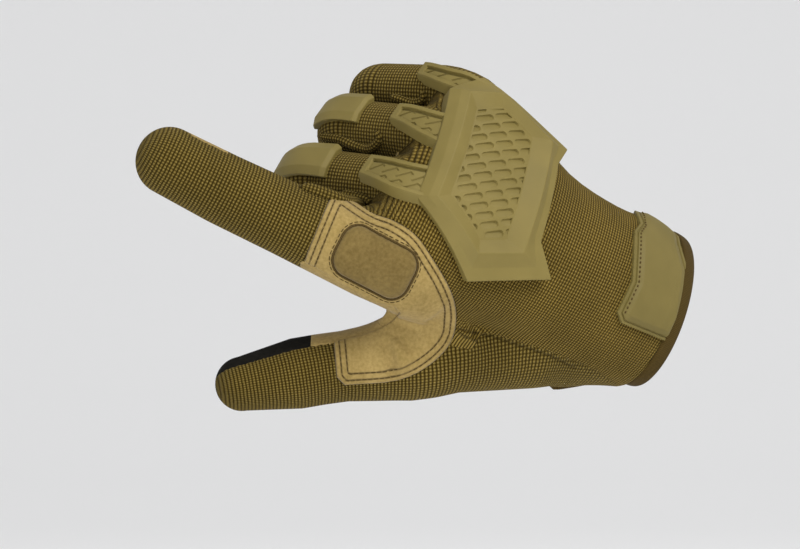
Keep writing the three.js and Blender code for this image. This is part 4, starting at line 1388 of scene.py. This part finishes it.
def finger_guard(name):
    """A moulded plate over the first joint, with a flat top and two bevelled sides."""
    start, end, to_thumb, to_little, thickness = FINGER_GUARDS[name]
    loft = LIMB_LOFTS[name]
    distance = np.linspace(start, end, 13)
    centre = at_distance(distance, loft.along, loft.centre)
    side = unit(at_distance(distance, loft.along, loft.side))
    up = unit(at_distance(distance, loft.along, loft.up))
    thick = at_distance(distance, loft.along, loft.thick[:, None])
    share = np.minimum(distance - start, end - distance)[:, None]
    raise_by = thickness * (0.55 + 0.45 * soft_step(share, 0, 0.8))
    angles = [-to_thumb, -to_thumb, -to_thumb * 0.45, to_little * 0.55, to_little, to_little]
    angles = np.radians(angles)
    foot = thick - FINGER_GUARD_FOOT
    radius = np.hstack([foot, *[thick + raise_by] * 4, foot])
    across = radius * np.sin(angles)
    out = radius * np.cos(angles)
    points = centre[:, None] + across[..., None] * side[:, None] + out[..., None] * up[:, None]
    rows, columns = across.shape
    shell = build(f"{name}_guard_shell", points.reshape(-1, 3), capped_faces(rows, columns),
                  MATERIALS["rubber"], "rubber", [f"{name}_guard"], crease=25)
    bevel(shell, 0.3, 20)


# Studio, in metres
STAGE = {"front": -6.0, "back": 2.2, "turn": 1.2, "floor": -0.16, "top": 4.0, "half_width": 6.0,
         "colour": (0.88, 0.88, 0.88, 1)}
SKY = {"colour": (0.98, 0.985, 1.0, 1), "strength": 0.68}
# columns: name, place, what it shines on, size, power, colour
LIGHTS = [
    ("key", (0.45, -0.8, 1.0), (-0.08, -0.03, 0.02), 0.7, 15, (1.0, 0.99, 0.97)),
    ("fill", (-1.0, -1.1, 0.1), (-0.08, -0.03, 0.02), 1.2, 3.5, (1.0, 1.0, 1.0)),
    ("low", (-0.1, -0.45, -0.13), (-0.09, -0.03, 0.0), 0.15, 0.55, (1.0, 1.0, 1.0)),
]


def add_camera():
    camera = bpy.data.objects.new("camera", bpy.data.cameras.new("camera"))
    camera.data.sensor_width = SENSOR
    camera.data.lens = LENS
    camera.data.clip_end = 20
    camera.location = EYE * MM
    camera.rotation_euler = (np.pi / 2, 0, 0)
    bpy.context.scene.collection.objects.link(camera)
    bpy.context.scene.camera = camera


def add_light(name, place, target, size, power, colour):
    light = bpy.data.lights.new(name, "AREA")
    light.energy = power
    light.size = size
    light.color = colour
    lamp = bpy.data.objects.new(name, light)
    lamp.location = place
    lamp.rotation_euler = (Vector(target) - Vector(place)).to_track_quat("-Z", "Y").to_euler()
    bpy.context.scene.collection.objects.link(lamp)


def add_backdrop():
    """A pale floor that curves up into a wall."""
    floor, back, turn, width = (STAGE[k] for k in ("floor", "back", "turn", "half_width"))
    profile = [(STAGE["front"], floor), (back - turn, floor)]
    for angle in np.radians(np.arange(10, 90, 10)):
        profile.append((back - turn + turn * np.sin(angle), floor + turn * (1 - np.cos(angle))))
    profile += [(back, floor + turn), (back, STAGE["top"])]
    vertices = [(x, y, z) for y, z in profile for x in (-width, width)]
    mesh = bpy.data.meshes.new("backdrop")
    mesh.from_pydata(vertices, [], grid_faces(len(profile), 2).tolist())
    mesh.polygons.foreach_set("use_smooth", [True] * len(mesh.polygons))
    nodes = Nodes("backdrop", 0.9)
    nodes.shader.inputs["Base Color"].default_value = STAGE["colour"]
    mesh.materials.append(nodes.material)
    stage = bpy.data.objects.new("backdrop", mesh)
    bpy.context.scene.collection.objects.link(stage)
    stage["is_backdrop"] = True


def add_studio():
    add_backdrop()
    world = bpy.data.worlds.new("studio")
    world.use_nodes = True
    sky = world.node_tree.nodes["Background"]
    sky.inputs[0].default_value = SKY["colour"]
    sky.inputs[1].default_value = SKY["strength"]
    bpy.context.scene.world = world
    bpy.context.scene.view_settings.view_transform = "Standard"
    for light in LIGHTS:
        add_light(*light)


def corners():
    low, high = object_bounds()
    return [list(low), list(high)]


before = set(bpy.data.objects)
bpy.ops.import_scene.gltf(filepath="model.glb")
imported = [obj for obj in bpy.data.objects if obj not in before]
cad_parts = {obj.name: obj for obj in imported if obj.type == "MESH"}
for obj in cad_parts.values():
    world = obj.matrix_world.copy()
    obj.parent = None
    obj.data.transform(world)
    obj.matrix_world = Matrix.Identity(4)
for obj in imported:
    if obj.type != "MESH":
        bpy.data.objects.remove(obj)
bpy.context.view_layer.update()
add_camera()
dress_cloth()
binding_piece()
roll_pieces()
dress_guard()
for finger in FINGER_GUARDS:
    finger_guard(finger)
add_studio()
